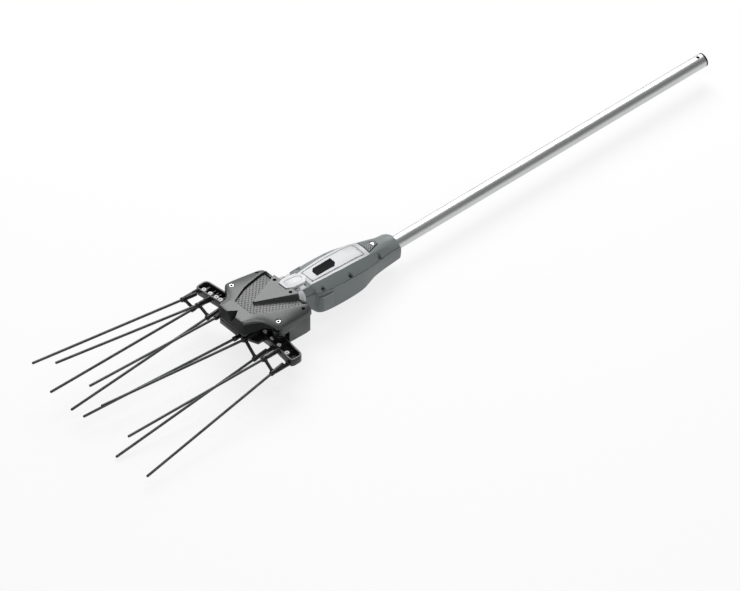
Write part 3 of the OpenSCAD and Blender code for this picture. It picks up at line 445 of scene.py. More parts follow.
def prism(bm, outline, low, high):
    """A flat plate with the given outline between two heights; returns its top face."""
    base = bm.faces.new([bm.verts.new(mm(x, y, low)) for x, y in outline])
    top = pull(bm, base, (0, 0, (high - low) * MM))
    sides = {f for v in [*base.verts, *top.verts] for f in v.link_faces}
    bmesh.ops.recalc_face_normals(bm, faces=list(sides))
    return top


def inset(bm, faces, steps):
    """Insets a region step by step, each with a margin and a rise in millimetres."""
    for margin, rise in steps:
        bmesh.ops.inset_region(bm, faces=faces, thickness=margin * MM, depth=rise * MM, use_even_offset=True)


def turned(bm, profile, place, steps):
    """Spins a profile of (radius, height) pairs about its own axis and sets it in place."""
    verts = [bm.verts.new(mm(r, 0, h)) for r, h in profile]
    edges = [bm.edges.new(pair) for pair in zip(verts, verts[1:])]
    before = set(bm.verts) - set(verts)
    bmesh.ops.spin(bm, geom=verts + edges, cent=(0, 0, 0), axis=(0, 0, 1), angle=math.tau, steps=steps,
                   use_merge=True)
    made = [v for v in bm.verts if v not in before]
    bmesh.ops.remove_doubles(bm, verts=made, dist=NEAR)
    made = [v for v in bm.verts if v not in before]
    bmesh.ops.recalc_face_normals(bm, faces=list({f for v in made for f in v.link_faces}))
    bmesh.ops.transform(bm, matrix=place, verts=made)


def rod(bm, start, end, radius, segments):
    """A round bar between two points."""
    span = end - start
    place = Matrix.Translation((start + end) / 2) @ span.to_track_quat("Z", "Y").to_matrix().to_4x4()
    bmesh.ops.create_cone(bm, cap_ends=True, segments=segments, radius1=radius * MM, radius2=radius * MM,
                          depth=span.length, matrix=place)


def block(bm, low, high, edge):
    """A box between two corners with rounded edges."""
    low, high = Vector(low) * MM, Vector(high) * MM
    place = Matrix.Translation((low + high) / 2) @ Matrix.Diagonal((*(high - low), 1))
    verts = bmesh.ops.create_cube(bm, size=1.0, matrix=place)["verts"]
    edges = list({e for v in verts for e in v.link_edges})
    bmesh.ops.bevel(bm, geom=edges, offset=edge * MM, segments=2, profile=0.5, affect="EDGES", material=-1)


def object_of(name, bm):
    """Links a new object made of a bmesh."""
    mesh = bpy.data.meshes.new(name)
    bm.to_mesh(mesh)
    bm.free()
    obj = bpy.data.objects.new(name, mesh)
    bpy.context.collection.objects.link(obj)
    return obj


def settle(obj):
    """Turns an object's modifiers into its mesh."""
    bpy.context.view_layer.update()
    graph = bpy.context.evaluated_depsgraph_get()
    mesh = bpy.data.meshes.new_from_object(obj.evaluated_get(graph))
    if not mesh.polygons:
        raise RuntimeError(f"nothing is left of {obj.name}")
    obj.modifiers.clear()
    obj.data = mesh


def carve(obj, cutter):
    """Cuts a bmesh out of an object."""
    tool = object_of("cutter", cutter)
    change = obj.modifiers.new("Carve", "BOOLEAN")
    change.operation, change.solver, change.object = "DIFFERENCE", "EXACT", tool
    settle(obj)
    bpy.data.meshes.remove(tool.data)


def piece(name, bm, slot, nodes=(), body="frame", finishes=(), subdivide=0, round_edges=0.0, angle=35.0):
    """Makes an object of a bmesh, with its slot's finish unless others are given, and sets it on its body."""
    obj = object_of(name, bm)
    for label in finishes or (slot,):
        obj.data.materials.append(finish(label))
    if subdivide:
        smooth = obj.modifiers.new("Smooth", "SUBSURF")
        smooth.levels = smooth.render_levels = subdivide
    if round_edges:
        bevel = obj.modifiers.new("Edges", "BEVEL")
        bevel.width, bevel.segments, bevel.profile = round_edges * MM, 2, 0.5
        bevel.limit_method, bevel.angle_limit = "ANGLE", math.radians(angle)
    if obj.modifiers:
        settle(obj)
    shade(obj, angle)
    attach(obj, body)
    if nodes:
        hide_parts(*nodes)
    return obj


def shade(obj, angle):
    """Smooth shading, with the edges above an angle kept sharp."""
    obj.data.shade_smooth()
    obj.data.set_sharp_from_angle(angle=math.radians(angle))


def node_copy(name):
    """A merged copy of a CAD node's mesh, with its flat faces joined."""
    bm = bmesh.new()
    bm.from_mesh(frame["nodes"][name].data)
    bmesh.ops.remove_doubles(bm, verts=bm.verts, dist=2e-6)
    bmesh.ops.dissolve_limit(bm, angle_limit=math.radians(1.0), verts=bm.verts, edges=bm.edges)
    outward(bm)
    return bm


def paint_node(name, label):
    """Gives a carried-over CAD node its finish."""
    mesh = frame["nodes"][name].data
    mesh.materials.clear()
    mesh.materials.append(finish(label))


# Housing


def course(table, x):
    """Value of a course at a place, straight between its points."""
    for (x0, v0), (x1, v1) in zip(table, table[1:]):
        if x <= x1:
            return v0 + (v1 - v0) * max(0.0, x - x0) / (x1 - x0)
    return table[-1][1]


def half_section(s, part):
    """Points of one side of a housing section, from the top down."""
    _, top, sy, sz, ly, lz, my, mz, gy, gz, hy, hz, bottom = s
    if part == "upper":
        return [(0, top), (sy * 0.55, top - (top - sz) * 0.25), (sy, sz),
                ((sy + ly) / 2, (sz + lz) / 2 + 0.9), (ly - 0.8, lz + 0.6), (ly - 1.2, lz - 1.0)]
    return [(ly - 1.4, lz - 1.2), (ly + 0.7, lz + 0.1), (ly + 1.9, lz - 1.8), (my, mz), (gy, gz), (hy, hz),
            (0, bottom)]


def housing_shell(part):
    """Cage of one housing shell, closed on the side that faces the other shell."""
    bm = bmesh.new()
    rings = []
    for s in SECTIONS:
        half = half_section(s, part)
        other = half[1:] if part == "upper" else half[:-1]
        ring = half + [(-y, z) for y, z in reversed(other)]
        rings.append([mm(s[0], y, z) for y, z in ring])
    rows = loft(bm, rings)
    for row in (rows[0], rows[-1]):
        bm.faces.new(row)
        crease(bm, row, 0.7)
    for index, amount in SHELL_CREASES[part].items():
        crease(bm, [row[index] for row in rows], amount)
    outward(bm)
    return bm


def pocket_cutter(x, y, floor, radius):
    """Round screw pocket with a scallop towards the outside."""
    side = math.copysign(1, y)
    bm = bmesh.new()
    turned(bm, ((0, -0.2), (radius - 0.6, -0.2), (radius - 0.2, 0.4), (radius, 30), (0, 30)),
           Matrix.Translation(mm(x, y, floor)), 20)
    yield bm
    bm = bmesh.new()
    lean = Matrix.Rotation(-POCKET_LEAN * side, 4, "X")
    turned(bm, ((0, 0), (radius - 1, 0), (radius, 1), (radius + 3, 30), (0, 30)),
           Matrix.Translation(mm(x, y + 0.8 * side, floor + 1.5)) @ lean, 20)
    yield bm


class HARVESTER_OT_housing(bpy.types.Operator):
    """Moulds the two housing shells, with their ledge, shoulders, screw pockets and side pads"""

    bl_idname = "harvester.housing"
    bl_label = "Housing shells"

    def execute(self, context):
        sizes = context.scene.harvester_sizes
        upper = piece("housing_top_shell", housing_shell("upper"), "housing_grey", ("housing_upper",),
                      subdivide=3)
        for x, y, floor in POCKETS:
            for side in (1, -1):
                for cutter in pocket_cutter(x, side * y, floor, sizes.pocket_radius / MM):
                    carve(upper, cutter)
        shade(upper, 40)
        piece("housing_lower_shell", housing_shell("lower"), "housing_grey", ("housing_lower",),
              subdivide=3, angle=40)
        pads = bmesh.new()
        for side in (1, -1):
            top = prism(pads, [(x, side * y) for x, y in SIDE_PAD], SIDE_PAD_LOW, SIDE_PAD_TOP)
            inset(pads, [top], SIDE_PAD_STEPS)
        outward(pads)
        piece("housing_side_pads", pads, "housing_grey", round_edges=1.0)
        return {"FINISHED"}


def top_height(x, y):
    """Height of the housing's top surface."""
    top, half, edge = (course([(s[0], s[k]) for s in SECTIONS], x) for k in (1, 2, 3))
    return top - (top - edge) * min(1.0, abs(y) / half) ** 1.7


def spread(ends, count):
    """Places spread evenly between two ends."""
    return [ends[0] + (ends[1] - ends[0]) * i / count for i in range(count + 1)]


def inlay_strip(bm, stations, half_width, lift, columns):
    """A skin over the housing's top, bounded by a half width at each station."""
    sections = []
    for x in stations:
        across = [half_width(x) * (1 - 2 * i / columns) for i in range(columns + 1)]
        sections.append([mm(x, y, top_height(x, y) + lift) for y in across])
    loft(bm, sections, closed=False)


def thicken(bm, depth):
    """Gives a skin a wall and makes it closed."""
    outward(bm)
    if sum(f.normal.z for f in bm.faces) < 0:
        bmesh.ops.reverse_faces(bm, faces=bm.faces)
    bmesh.ops.solidify(bm, geom=bm.faces[:], thickness=depth * MM)


def inlay_half(x):
    """Half width of the top panel."""
    return course(INLAY_HALF, x)


def clamp_skin(ends, least, gain, lift, wall):
    """Closed skin on the clamp, which widens from one end to the other."""
    def half_width(x):
        return least + gain * ((x - ends[0]) / (ends[1] - ends[0])) ** 0.9

    bm = bmesh.new()
    inlay_strip(bm, spread(ends, 14), half_width, lift, 12)
    thicken(bm, wall)
    return bm


class HARVESTER_OT_inlay(bpy.types.Operator):
    """Lays the silver top panel, the bare badge plate, the dotted clamp patch and its gasket"""

    bl_idname = "harvester.inlay"
    bl_label = "Top inlay"

    def execute(self, context):
        bm = bmesh.new()
        inlay_strip(bm, spread(INLAY_ENDS, 46), inlay_half, INLAY_LIFT, 20)
        thicken(bm, SKIN_WALL)
        field = []
        for face in bm.faces:
            spot = face.calc_center_median() / MM
            inside = FIELD_ENDS[0] < spot.x < FIELD_ENDS[1] and abs(spot.y) < inlay_half(spot.x) * FIELD_SHARE
            if inside and face.normal.z > UPWARD:
                field.append(face)
        inset(bm, field, FIELD_STEPS)
        piece("top_panel", bm, "inlay_silver", ("top_inlay",), angle=30)

        badge = bmesh.new()
        rear, front, half, cut = BADGE
        outline = [(rear, -half), (front - cut, -half), (front, cut - half), (front, half),
                   (rear + cut, half), (rear, half - cut)]
        top = prism(badge, outline, BADGE_LOW, BADGE_TOP)
        inset(badge, [top], BADGE_STEPS)
        piece("badge_blank", badge, "badge_black", ("badge_plate",), round_edges=0.35)

        patch = clamp_skin(*PATCH)
        inset(patch, [f for f in patch.faces if f.normal.z > UPWARD], PATCH_STEPS)
        cover = piece("clamp_cover", patch, "patch_grey", ("clamp_patch",))
        carve(cover, drill(CLAMP_X, 0, CLAMP_FLOOR, PATCH_HOLE_R))
        shade(cover, 30)
        gasket = piece("clamp_gasket", clamp_skin(*GASKET), "ring_plastic")
        carve(gasket, drill(CLAMP_X, 0, CLAMP_FLOOR, GASKET_HOLE_R))
        return {"FINISHED"}


class HARVESTER_OT_trim(bpy.types.Operator):
    """Makes the pale trim over the neck, with its raised six-sided pad and its two legs"""

    bl_idname = "harvester.trim"
    bl_label = "Bridge trim"

    def execute(self, context):
        bm = bmesh.new()
        for rear, front, first in TRIM_PLATES:
            half = TRIM_ARCH[first:]
            line = list(half) + [(-y, z) for y, z in reversed(half[:-1])]
            inner = [(y * 0.9, z - TRIM_WALL) for y, z in reversed(line)]
            face = bm.faces.new([bm.verts.new(mm(rear, y, z)) for y, z in line + inner])
            pull(bm, face, ((front - rear) * MM, 0, 0))
        top = prism(bm, TRIM_PAD, PAD_LOW, PAD_TOP)
        for vert in bm.verts:
            if vert.co.z > (PAD_TOP - 0.5) * MM or abs(vert.co.z - PAD_LOW * MM) < NEAR:
                vert.co.z += max(0.0, vert.co.x / MM - PAD_RISE_X) * PAD_RISE * MM
        inset(bm, [top], PAD_STEPS)
        outward(bm)
        piece("neck_trim", bm, "trim_pale", ("bridge_trim",), round_edges=0.7)
        return {"FINISHED"}


# Head


def cover_half(x):
    """One side of a section of the upper cover, from the centre line out and down to the seam."""
    w, shoulder_z, edge = course(COVER_WIDTH, x), course(COVER_SHOULDER, x), course(COVER_EDGE, x)
    ry, rz = course(COVER_RIDGE_Y, x), course(COVER_RIDGE_Z, x)
    ty = course(TRIANGLE_Y, x)
    floor = rz - course(CHANNEL_DROP, x) if x < CHANNEL_FRONT else rz
    top = course(TRIANGLE_Z, x) if x < TRIANGLE_TIP else floor
    foot = ty + 1.0 + 0.16 * (top - floor)
    return ((0, top), (ty * 0.5, top), (ty, top), (foot, floor), ((foot + ry) / 2, floor),
            (ry - 3.0, floor), (ry - 0.8, rz), (ry + 0.8, rz),
            ((ry + w - 3.5) / 2, (rz + shoulder_z) / 2 + 0.9), (w - 3.5, shoulder_z),
            (w - 0.5, (shoulder_z + edge) / 2 + 1.0), (w, edge), (w, course(COVER_SEAM, x)))


def upper_cover_mesh():
    """Shell of the upper cover: raised triangle, dotted channel, ridges, slopes and skirt, with painted shade
    at the foot of each ridge and on the nose.
    """
    bm = bmesh.new()
    sections = []
    for x in COVER_STATIONS:
        half = [mm(x, y, z) for y, z in cover_half(x)]
        sections.append([Vector((p.x, -p.y, p.z)) for p in reversed(half[1:])] + half)
    rows = loft(bm, sections, closed=False)
    middle = len(rows[0]) // 2
    for index, amount in COVER_CREASES.items():
        for place in (middle + index, middle - index):
            crease(bm, [row[place] for row in rows], amount)
    for x, row in zip(COVER_STATIONS, rows):
        if x in COVER_ENDS:
            bm.faces.new(row)
            crease(bm, row, 0.8)
        if x in TIP_STATIONS:
            crease(bm, row[middle - 3:middle + 4], 0.8)
        if x in FRONT_STATIONS:
            crease(bm, row[middle - 6:middle + 7], 0.9)
    for face in bm.faces:
        centre, corners = face.calc_center_median() / MM, len(face.verts)
        inner, outer = course(TRIANGLE_Y, centre.x), course(COVER_RIDGE_Y, centre.x) - 2.6
        if corners == 4 and centre.x < CHANNEL_FRONT - 0.6 and abs(centre.y) < outer:
            foot = inner + 1.0 + 0.16 * (centre.z - course(COVER_RIDGE_Z, centre.x))
            if centre.x > TRIANGLE_TIP + 0.6 or abs(centre.y) > foot + 2.0:
                face.material_index = DOTTED
        # Painted shade: a dark strip at the foot of each ridge, where the step stands in shadow
        if centre.x < RIDGE_SHADE_FRONT and outer < abs(centre.y) < outer + 1.6:
            face.material_index = BLACK_AND_PAINTED_SHADE
        # The nose skirt below the cover's edge and the front face take the dark finish: partly black plastic,
        # partly painted shade
        low = course(COVER_EDGE, centre.x) - 0.3
        if centre.x > NOSE_REAR and (centre.z < low or (centre.x > NOSE_FACE and corners > 4)):
            face.material_index = BLACK_AND_PAINTED_SHADE
    outward(bm)
    return bm


def cut_valley(cover):
    """Cuts the folded valley into the front of the upper cover and closes its two folds in the dark finish,
    partly black plastic and partly painted shade.
    """
    bm = bmesh.new()
    bm.from_mesh(cover.data)
    top, foot, corner = (mm(*p) for p in VALLEY)

    def front(side=0):
        spots = ((f, f.calc_center_median() / MM) for f in bm.faces)
        return [f for f, s in spots if s.x > VALLEY_REAR and abs(s.y) < VALLEY_HALF and s.y * side >= 0]

    def split(faces, place, normal):
        parts = faces + list({e for f in faces for e in f.edges}) + list({v for f in faces for v in f.verts})
        bmesh.ops.bisect_plane(bm, geom=parts, plane_co=place, plane_no=normal, dist=1e-7)

    split(front(), Vector((0, 0, 0)), Vector((0, 1, 0)))
    folds = []
    for side in (1, -1):
        outer = Vector((corner.x, corner.y * side, corner.z))
        normal = ((foot - top).cross(outer - top) * side).normalized()
        split(front(side), top, normal)
        gone = [f for f in front(side) if (f.calc_center_median() - top).dot(normal) > NEAR]
        bmesh.ops.delete(bm, geom=gone, context="FACES")
        folds.append((side, normal))
    for side, normal in folds:
        rim = [e for e in bm.edges if e.is_boundary and all(
            abs((v.co - top).dot(normal)) < NEAR and v.co.y * side > -NEAR for v in e.verts)]
        ends = list({v for e in rim for v in e.verts if abs(v.co.y) < NEAR})
        if len(ends) != 2:
            raise RuntimeError("the valley's rim isn't whole")
        seam = bm.edges.get(ends) or bm.edges.new(ends)
        made = bmesh.ops.contextual_create(bm, geom=list({*rim, seam}))["faces"]
        # The folds take the dark finish: partly black plastic, partly painted shade in the valley
        for face in made:
            face.material_index = BLACK_AND_PAINTED_SHADE
            face.normal_update()
            if face.normal.dot(normal) < 0:
                face.normal_flip()
        bmesh.ops.triangulate(bm, faces=made)
    bm.to_mesh(cover.data)
    bm.free()


def hollow(obj, wall):
    """Gives an open skin its inner wall."""
    inside = obj.modifiers.new("Wall", "SOLIDIFY")
    inside.thickness, inside.offset, inside.use_even_offset = wall, -1.0, False
    settle(obj)


def drill(x, y, low, radius):
    """Upright hole from a height to above the head."""
    bm = bmesh.new()
    rod(bm, mm(x, y, low - 0.2), mm(x, y, 80), radius, 24)
    return bm


class HARVESTER_OT_head_covers(bpy.types.Operator):
    """Moulds the upper cover with its dotted channel, the dark lower cover, the nose and the pivot bolts"""

    bl_idname = "harvester.head_covers"
    bl_label = "Head covers"

    def execute(self, context):
        # The cover's third finish is black plastic that also paints shade on the ridges, nose and valley
        cover = piece("head_top_cover", upper_cover_mesh(), "cover_grey", ("head_upper_cover",),
                      finishes=("cover_grey", "cover_dotted", "nose_black"), subdivide=2, angle=40)
        cut_valley(cover)
        hollow(cover, context.scene.harvester_sizes.cover_wall)
        for x, y, seat in COVER_SCREWS:
            for side in (1, -1):
                carve(cover, drill(x, side * y, seat, COVER_SCREW_R))
        carve(cover, drill(NOSE_SCREW_X, 0, NOSE_SCREW_SEAT, NOSE_SCREW_R))
        for side in (1, -1):
            carve(cover, drill(PIVOT_X, side * PIVOT_Y, PIVOT_FLOOR, PIVOT_HOLE_R))
        shade(cover, 40)
        bolts = bmesh.new()
        for side in (1, -1):
            turned(bolts, PIVOT_BOLT, Matrix.Translation(mm(PIVOT_X, side * PIVOT_Y, 0)), 32)
        for face in bolts.faces:
            spot = face.calc_center_median() / MM
            axis = Vector((PIVOT_X, math.copysign(PIVOT_Y, spot.y)))
            # Painted shade: the faces inside each bolt's socket take a near-black finish
            if spot.z > BOLT_SOCKET_Z and (spot.xy - axis).length < BOLT_SOCKET_R:
                face.material_index = 1
        piece("pivot_bolt_pair", bolts, "screw_steel", ("pivot_bolts",),
              finishes=("screw_steel", "socket_black"))
        piece("head_lower_shell", node_copy("head_lower_cover"), "cover_dark", ("head_lower_cover",),
              round_edges=1.2, angle=30)
        piece("nose", node_copy("nose_block"), "rake_black", ("nose_block",), round_edges=1.5, angle=30)
        return {"FINISHED"}


# Rakes


def bar_x(y):
    """Middle of a bar at a distance from the centre line."""
    return BAR_MID_X + math.tan(BAR_SWEEP) * (y - BAR_MID_Y)


def bar_front(y):
    """Front of a bar, where the tines are."""
    return bar_x(y) + BAR_HALF


def bar_back(y):
    """Back of a bar."""
    return bar_x(y) - BAR_HALF


def bar_mesh(rake, wall):
    """Trough with rounded ends, ribs and a boss round each screw."""
    side, inner = rake["side"], rake["inner"]
    bm = bmesh.new()
    r, end = BAR_CORNER, BAR_REACH
    outline = [(bar_front(inner), inner), (bar_front(end - r), end - r),
               (bar_front(end) - 0.3 * r, end - 0.3 * r), (bar_front(end) - r, end),
               (bar_back(end) + r, end), (bar_back(end) + 0.3 * r, end - 0.3 * r),
               (bar_back(end - r), end - r), (bar_back(inner), inner)]
    if side < 0:
        outline = [(x, -y) for x, y in reversed(outline)]
    top = prism(bm, outline, BAR_Z, BAR_Z + BAR_H)
    inset(bm, [top], ((wall, 0.0), (0.5, wall - BAR_H)))
    floor = BAR_Z + wall - 0.5
    for y in range(int(inner) + 14, int(end) - 8, RIB_STEP):
        if abs(y - PIVOT_Y) > RIB_CLEAR:
            block(bm, (bar_back(y) + RIB_GAP, side * y - RIB_HALF, floor),
                  (bar_front(y) - RIB_GAP, side * y + RIB_HALF, RIB_TOP), RIB_EDGE)
    for y in rake["screws"]:
        turned(bm, BOSS, Matrix.Translation(mm(bar_x(y) + 5, side * y, floor)), 20)
        block(bm, (bar_back(y) + RIB_GAP, side * y - STAY_HALF, floor),
              (bar_x(y) - 0.4, side * y + STAY_HALF, RIB_TOP), RIB_EDGE)
    turned(bm, HUB, Matrix.Translation(mm(PIVOT_X, side * PIVOT_Y, BAR_Z)), 40)
    outward(bm)
    return bm


class HARVESTER_OT_rake_bars(bpy.types.Operator):
    """Moulds the black trough bar of each rake"""

    bl_idname = "harvester.rake_bars"
    bl_label = "Rake bars"

    def execute(self, context):
        wall = context.scene.harvester_sizes.bar_wall / MM
        for hand, rake in RAKES.items():
            piece(f"{hand}_trough", bar_mesh(rake, wall), "rake_black", (f"{hand}_bar",), f"{hand}_rake",
                  round_edges=0.7, angle=40)
        return {"FINISHED"}


def tine_place(tine, side):
    """Where a tine leaves its socket, and the direction that it takes."""
    y, row, reach, yaw, pitch = tine
    base = mm(bar_front(y) + reach, side * y, ROW_Z + row * LAYER_GAP / 2)
    yaw, pitch = math.radians(yaw) * side, math.radians(pitch)
    way = Vector((math.cos(pitch) * math.cos(yaw), math.cos(pitch) * math.sin(yaw), math.sin(pitch)))
    return base, way


def on_line(base, way):
    """Place of a turned shape whose axis runs from a point in a direction."""
    return Matrix.Translation(base) @ way.to_track_quat("Z", "Y").to_matrix().to_4x4()


def holder_mesh(rake, picks):
    """Sockets with collars, flanges and a brace; a socket past the bar's end stands on an arm."""
    side = rake["side"]
    bm = bmesh.new()
    tips = []
    for pick in picks:
        tine = rake["tines"][pick]
        y, row, reach = tine[:3]
        base, way = tine_place(tine, side)
        front, at, z = bar_front(y), side * y, ROW_Z + row * LAYER_GAP / 2
        tips.append(base - way * BRACE_SET * MM)
        turned(bm, SOCKET, on_line(base, way), 24)
        rod(bm, mm(front, at, z), mm(front + reach - 10, at, z), SOCKET_R, 20)
        low = ROW_Z + 0.2 if row > 0 else BAR_Z + 1
        parts = ((FLANGE, low, low + FLANGE_H), (WEB, z - WEB_RISE, z + WEB_RISE))
        for (x0, x1, half, edge), z0, z1 in parts:
            block(bm, (front + x0, at - half, z0), (front + x1, at + half, z1), edge)
    if len(tips) > 1:
        rod(bm, tips[0], tips[1], BRACE_R, 16)
        across = (tips[1] - tips[0]).normalized()
        for tip, sign in ((tips[0], 1), (tips[1], -1)):
            start, end = (tip + across * sign * far * MM for far in BRACE_END)
            rod(bm, start, end, BRACE_END_R, 16)
    y, near = rake["tines"][picks[0]][0], rake["inner"] + 20
    if y < rake["inner"]:
        reach, foot = bar_front(y) + 32, bar_front(near)
        outline = [(foot + 0.1, near), (bar_front(27) + 0.1, 27), (bar_front(y), y - 3), (reach, y - 3),
                   (reach, y + 3), (foot + 14, near)]
        prism(bm, outline, BAR_Z + 1, BAR_Z + 6)
        rib = [(foot + 1, near - 1), (foot + 1, near - 4), (reach - 14, y + 1), (reach - 12, y + 2.5)]
        prism(bm, rib, BAR_Z + 5, BAR_Z + 9)
    return bm


class HARVESTER_OT_holders(bpy.types.Operator):
    """Moulds the tine holders: sockets, collars, flanges and braces"""

    bl_idname = "harvester.holders"
    bl_label = "Tine holders"

    def execute(self, context):
        for hand, rake in RAKES.items():
            for label, picks in HOLDERS:
                piece(f"{hand}_sockets_{label}", holder_mesh(rake, picks), "rake_black",
                      (f"{hand}_holder_{label}",), f"{hand}_rake", angle=40)
        return {"FINISHED"}


class HARVESTER_OT_tines(bpy.types.Operator):
    """Draws the composite tines with their rounded tips"""

    bl_idname = "harvester.tines"
    bl_label = "Tines"

    def execute(self, context):
        for hand, rake in RAKES.items():
            for number, tine in enumerate(rake["tines"], 1):
                base, way = tine_place(tine, rake["side"])
                bm = bmesh.new()
                r = context.scene.harvester_sizes.tine_radius / MM - TINE_FIT
                cap = [(r * math.cos(a), TINE_LEN - r + r * math.sin(a)) for a in
                       (math.pi / 2 * k / 6 for k in range(1, 6))]
                along = [(r, h) for h in (TINE_ROOT, *TINE_RINGS, TINE_LEN - r)]
                turned(bm, [(0, TINE_ROOT)] + along + cap + [(0, TINE_LEN)], on_line(base, way), 28)
                piece(f"{hand}_rod_{number}", bm, "tine_composite", (f"{hand}_tine_{number}",),
                      f"{hand}_rake")
        return {"FINISHED"}


# Pole and metalwork


class HARVESTER_OT_pole(bpy.types.Operator):
    """Turns the bright tube with its spigot, its bore and its lock hole"""

    bl_idname = "harvester.pole"
    bl_label = "Pole"

    def execute(self, context):
        bm = bmesh.new()
        turned(bm, POLE_PROFILE + POLE_PROFILE[:1], Matrix.Rotation(math.pi / 2, 4, "Y"), 64)
        tube = piece("pole", bm, "pole_metal", ("pole_tube",))
        carve(tube, drill(LOCK_HOLE_X, 0, 0, LOCK_HOLE_R))
        shade(tube, 35)
        return {"FINISHED"}


# CAD nodes that the scene makes anew, and nodes with another finish than their slot's
REMADE = {"pole_tube", "housing_upper", "housing_lower", "top_inlay", "badge_plate", "clamp_patch",
          "bridge_trim", "head_upper_cover", "head_lower_cover", "nose_block", "pivot_bolts",
          "left_bar", "right_bar"}
REMADE_MARKS = ("_holder_", "_tine_")
# The housing and head screws take a dark finish that paints the shade in their pockets
OTHER_FINISH = {"housing_screws": "screw_dark", "head_screws": "screw_dark",
                "left_bar_screws": "screw_pale", "right_bar_screws": "screw_pale"}


class HARVESTER_OT_metalwork(bpy.types.Operator):
    """Gives the drive line, the screws and the levers their finishes"""

    bl_idname = "harvester.metalwork"
    bl_label = "Metalwork"

    def execute(self, context):
        for entry in frame["record"]["subparts"]:
            name, label = entry["node"], entry["material_slot"]
            if name not in REMADE and not any(mark in name for mark in REMADE_MARKS):
                paint_node(name, OTHER_FINISH.get(name, label))
        return {"FINISHED"}


# Stage


RIGHT = Vector((-0.7494, 0.6621, 0.0))
UP = Vector((-0.4473, -0.5063, 0.7373))
LENS = 1000.0
SENSOR = 36.0
VIEW_WIDTH = 1.2914
AIM = Vector((0.862, 0.089, 0.020))
CLIP_END = 200.0
FLOOR_HALF, FLOOR_GAP, FLOOR_GLOW = 40.0, 0.002, 0.8
WORLD_STRENGTH = 0.22
# Place, target, width and depth in metres, and power
LAMPS = {
    "softbox": ((-0.75, -1.93, 2.36), (0.95, 0, 0), (2.4, 2.0), 118),
    "overhead": ((1.2, 0.3, 3.0), (1.0, 0, 0), (1.2, 1.2), 12),
    "fill": ((2.0, 2.2, 1.5), (1.0, 0, 0), (1.0, 1.0), 14),
}


def backdrop(name, colour):
    """Pale floor that keeps the shadow, and looks white to the camera and in reflections."""
    board = Board(name)
    rays = board.make("ShaderNodeLightPath", {}).outputs
    seen = Term(board, rays["Is Camera Ray"])
    for ray in ("Is Glossy Ray", "Is Transmission Ray"):
        seen = board.math("MAXIMUM", seen, Term(board, rays[ray]))
    base = board.blend(board.noise(60.0), tone(colour, 0.99), tone(colour, 1.0))
    matte = board.value("ShaderNodeBsdfPrincipled", {"Base Color": base, "Roughness": 0.9})
    glow = board.value("ShaderNodeEmission", {"Color": (1, 1, 1, 1), "Strength": 1.0})
    return board.end(board.value("ShaderNodeMixShader", {0: seen * FLOOR_GLOW, 1: matte, 2: glow}))


def area_lamp(name, place, target, size, power):
    """A rectangular lamp that faces its target."""
    lamp = bpy.data.lights.new(name, "AREA")
    lamp.shape, lamp.size, lamp.size_y, lamp.energy = "RECTANGLE", size[0], size[1], power
    obj = bpy.data.objects.new(name, lamp)
    obj.location = place
    obj.rotation_euler = (Vector(target) - Vector(place)).to_track_quat("-Z", "Y").to_euler()
    bpy.context.collection.objects.link(obj)


class HARVESTER_OT_stage(bpy.types.Operator):
    """Sets the floor, the soft studio light and the camera"""

    bl_idname = "harvester.stage"
    bl_label = "Stage"

    def execute(self, context):
        bm = bmesh.new()
        bmesh.ops.create_grid(bm, x_segments=2, y_segments=2, size=FLOOR_HALF,
                              matrix=Matrix.Translation((AIM.x, AIM.y, CAD_BOX[0][2] - FLOOR_GAP)))
        floor = object_of("floor", bm)
        floor.data.materials.append(backdrop("floor_white", context.scene.harvester_look.floor))

        world = bpy.data.worlds.new("studio")
        world.use_nodes = True
        back = world.node_tree.nodes["Background"]
        back.inputs["Color"].default_value = (1, 1, 1, 1)
        back.inputs["Strength"].default_value = WORLD_STRENGTH
        context.scene.world = world

        for name, values in LAMPS.items():
            area_lamp(name, *values)

        camera = bpy.data.cameras.new("camera")
        camera.lens, camera.sensor_width, camera.sensor_fit = LENS, SENSOR, "HORIZONTAL"
        camera.clip_end = CLIP_END
        obj = bpy.data.objects.new("camera", camera)
        toward = RIGHT.cross(UP)
        turn = Matrix((RIGHT, UP, toward)).transposed().to_4x4()
        obj.matrix_world = Matrix.Translation(AIM + toward * (VIEW_WIDTH * LENS / SENSOR)) @ turn
        context.collection.objects.link(obj)
        context.scene.camera = obj
        context.scene.view_settings.view_transform = "Standard"
        return {"FINISHED"}


# Add-on


def colour_property(name, description, default):
    """A colour of the add-on."""
    return FloatVectorProperty(name=name, description=description, default=default, min=0, max=1, size=3,
                               subtype="COLOR")


class HarvesterLook(bpy.types.PropertyGroup):
    """Colours of the attachment and of the stage."""

    pole: colour_property("Pole", "Bright aluminium of the tube", (0.62, 0.625, 0.63))
    housing: colour_property("Housing", "Cool grey of the housing shells", (0.175, 0.197, 0.197))
    inlay: colour_property("Inlay", "Silver of the top panel", (0.50, 0.51, 0.525))
    trim: colour_property("Trim", "Pale silver of the neck trim", (0.56, 0.57, 0.585))
    cover: colour_property("Cover", "Grey of the head's upper cover", (0.053, 0.055, 0.055))
    lower_cover: colour_property("Lower cover", "Dark grey of the head's lower cover", (0.06, 0.065, 0.065))
    rake: colour_property("Rake", "Black of the rake mouldings", (0.014, 0.014, 0.015))
    tine: colour_property("Tine", "Dark grey of the composite tines", (0.036, 0.038, 0.042))
    floor: colour_property("Floor", "Pale floor", (0.9, 0.9, 0.9))


def length_property(name, description, default, low, high):
    """A length of the add-on, in metres."""
    return FloatProperty(name=name, description=description, default=default, min=low, max=high, precision=4,
                         subtype="DISTANCE", unit="LENGTH")


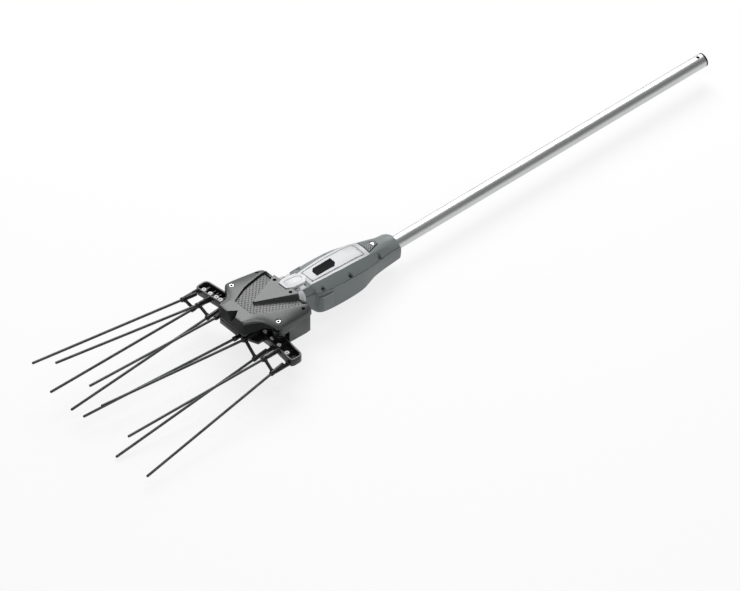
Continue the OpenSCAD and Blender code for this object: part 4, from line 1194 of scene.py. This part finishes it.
class HarvesterSizes(bpy.types.PropertyGroup):
    """Lengths of the details that the scene adds."""

    tine_radius: length_property("Tine radius", "Radius of the composite tines", 0.0025, 0.0015, 0.003)
    bar_wall: length_property("Bar wall", "Wall of the trough bars", 0.003, 0.002, 0.004)
    pocket_radius: length_property("Pocket radius", "Radius of the screw pockets", 0.004, 0.003, 0.005)
    cover_wall: length_property("Cover wall", "Wall of the head's upper cover", 0.0022, 0.0015, 0.003)
    dot_pitch: length_property("Dot pitch", "Spacing of the sunk dots in the channel", 0.00545, 0.004, 0.008)
    dot_radius: length_property("Dot radius", "Radius of the sunk dots in the channel", 0.0012, 0.0006, 0.002)


# The operators stand in the order in which they run
CLASSES = (HarvesterLook, HarvesterSizes, HARVESTER_OT_metalwork, HARVESTER_OT_pole, HARVESTER_OT_housing,
           HARVESTER_OT_inlay, HARVESTER_OT_trim, HARVESTER_OT_head_covers, HARVESTER_OT_rake_bars,
           HARVESTER_OT_holders, HARVESTER_OT_tines, HARVESTER_OT_stage)
STEPS = tuple(c.bl_idname for c in CLASSES if hasattr(c, "bl_idname"))


class HARVESTER_PT_sidebar(bpy.types.Panel):
    """Lists the steps that dress the attachment"""

    bl_idname = "HARVESTER_PT_sidebar"
    bl_label = "Olive harvester"
    bl_space_type = "VIEW_3D"
    bl_region_type = "UI"
    bl_category = "Harvester"

    def draw(self, context):
        for step in STEPS:
            self.layout.operator(step)
        for name in HarvesterLook.__annotations__:
            self.layout.prop(context.scene.harvester_look, name)
        for name in HarvesterSizes.__annotations__:
            self.layout.prop(context.scene.harvester_sizes, name)


def register():
    """Adds the classes and the two groups of properties."""
    for cls in CLASSES + (HARVESTER_PT_sidebar,):
        bpy.utils.register_class(cls)
    bpy.types.Scene.harvester_look = PointerProperty(type=HarvesterLook)
    bpy.types.Scene.harvester_sizes = PointerProperty(type=HarvesterSizes)


def unregister():
    """Takes them out again."""
    del bpy.types.Scene.harvester_look
    del bpy.types.Scene.harvester_sizes
    for cls in reversed(CLASSES + (HARVESTER_PT_sidebar,)):
        bpy.utils.unregister_class(cls)


def main():
    """Runs every step."""
    register()
    for step in STEPS:
        getattr(bpy.ops.harvester, step.split(".")[1])()


if __name__ == "__main__":
    main()
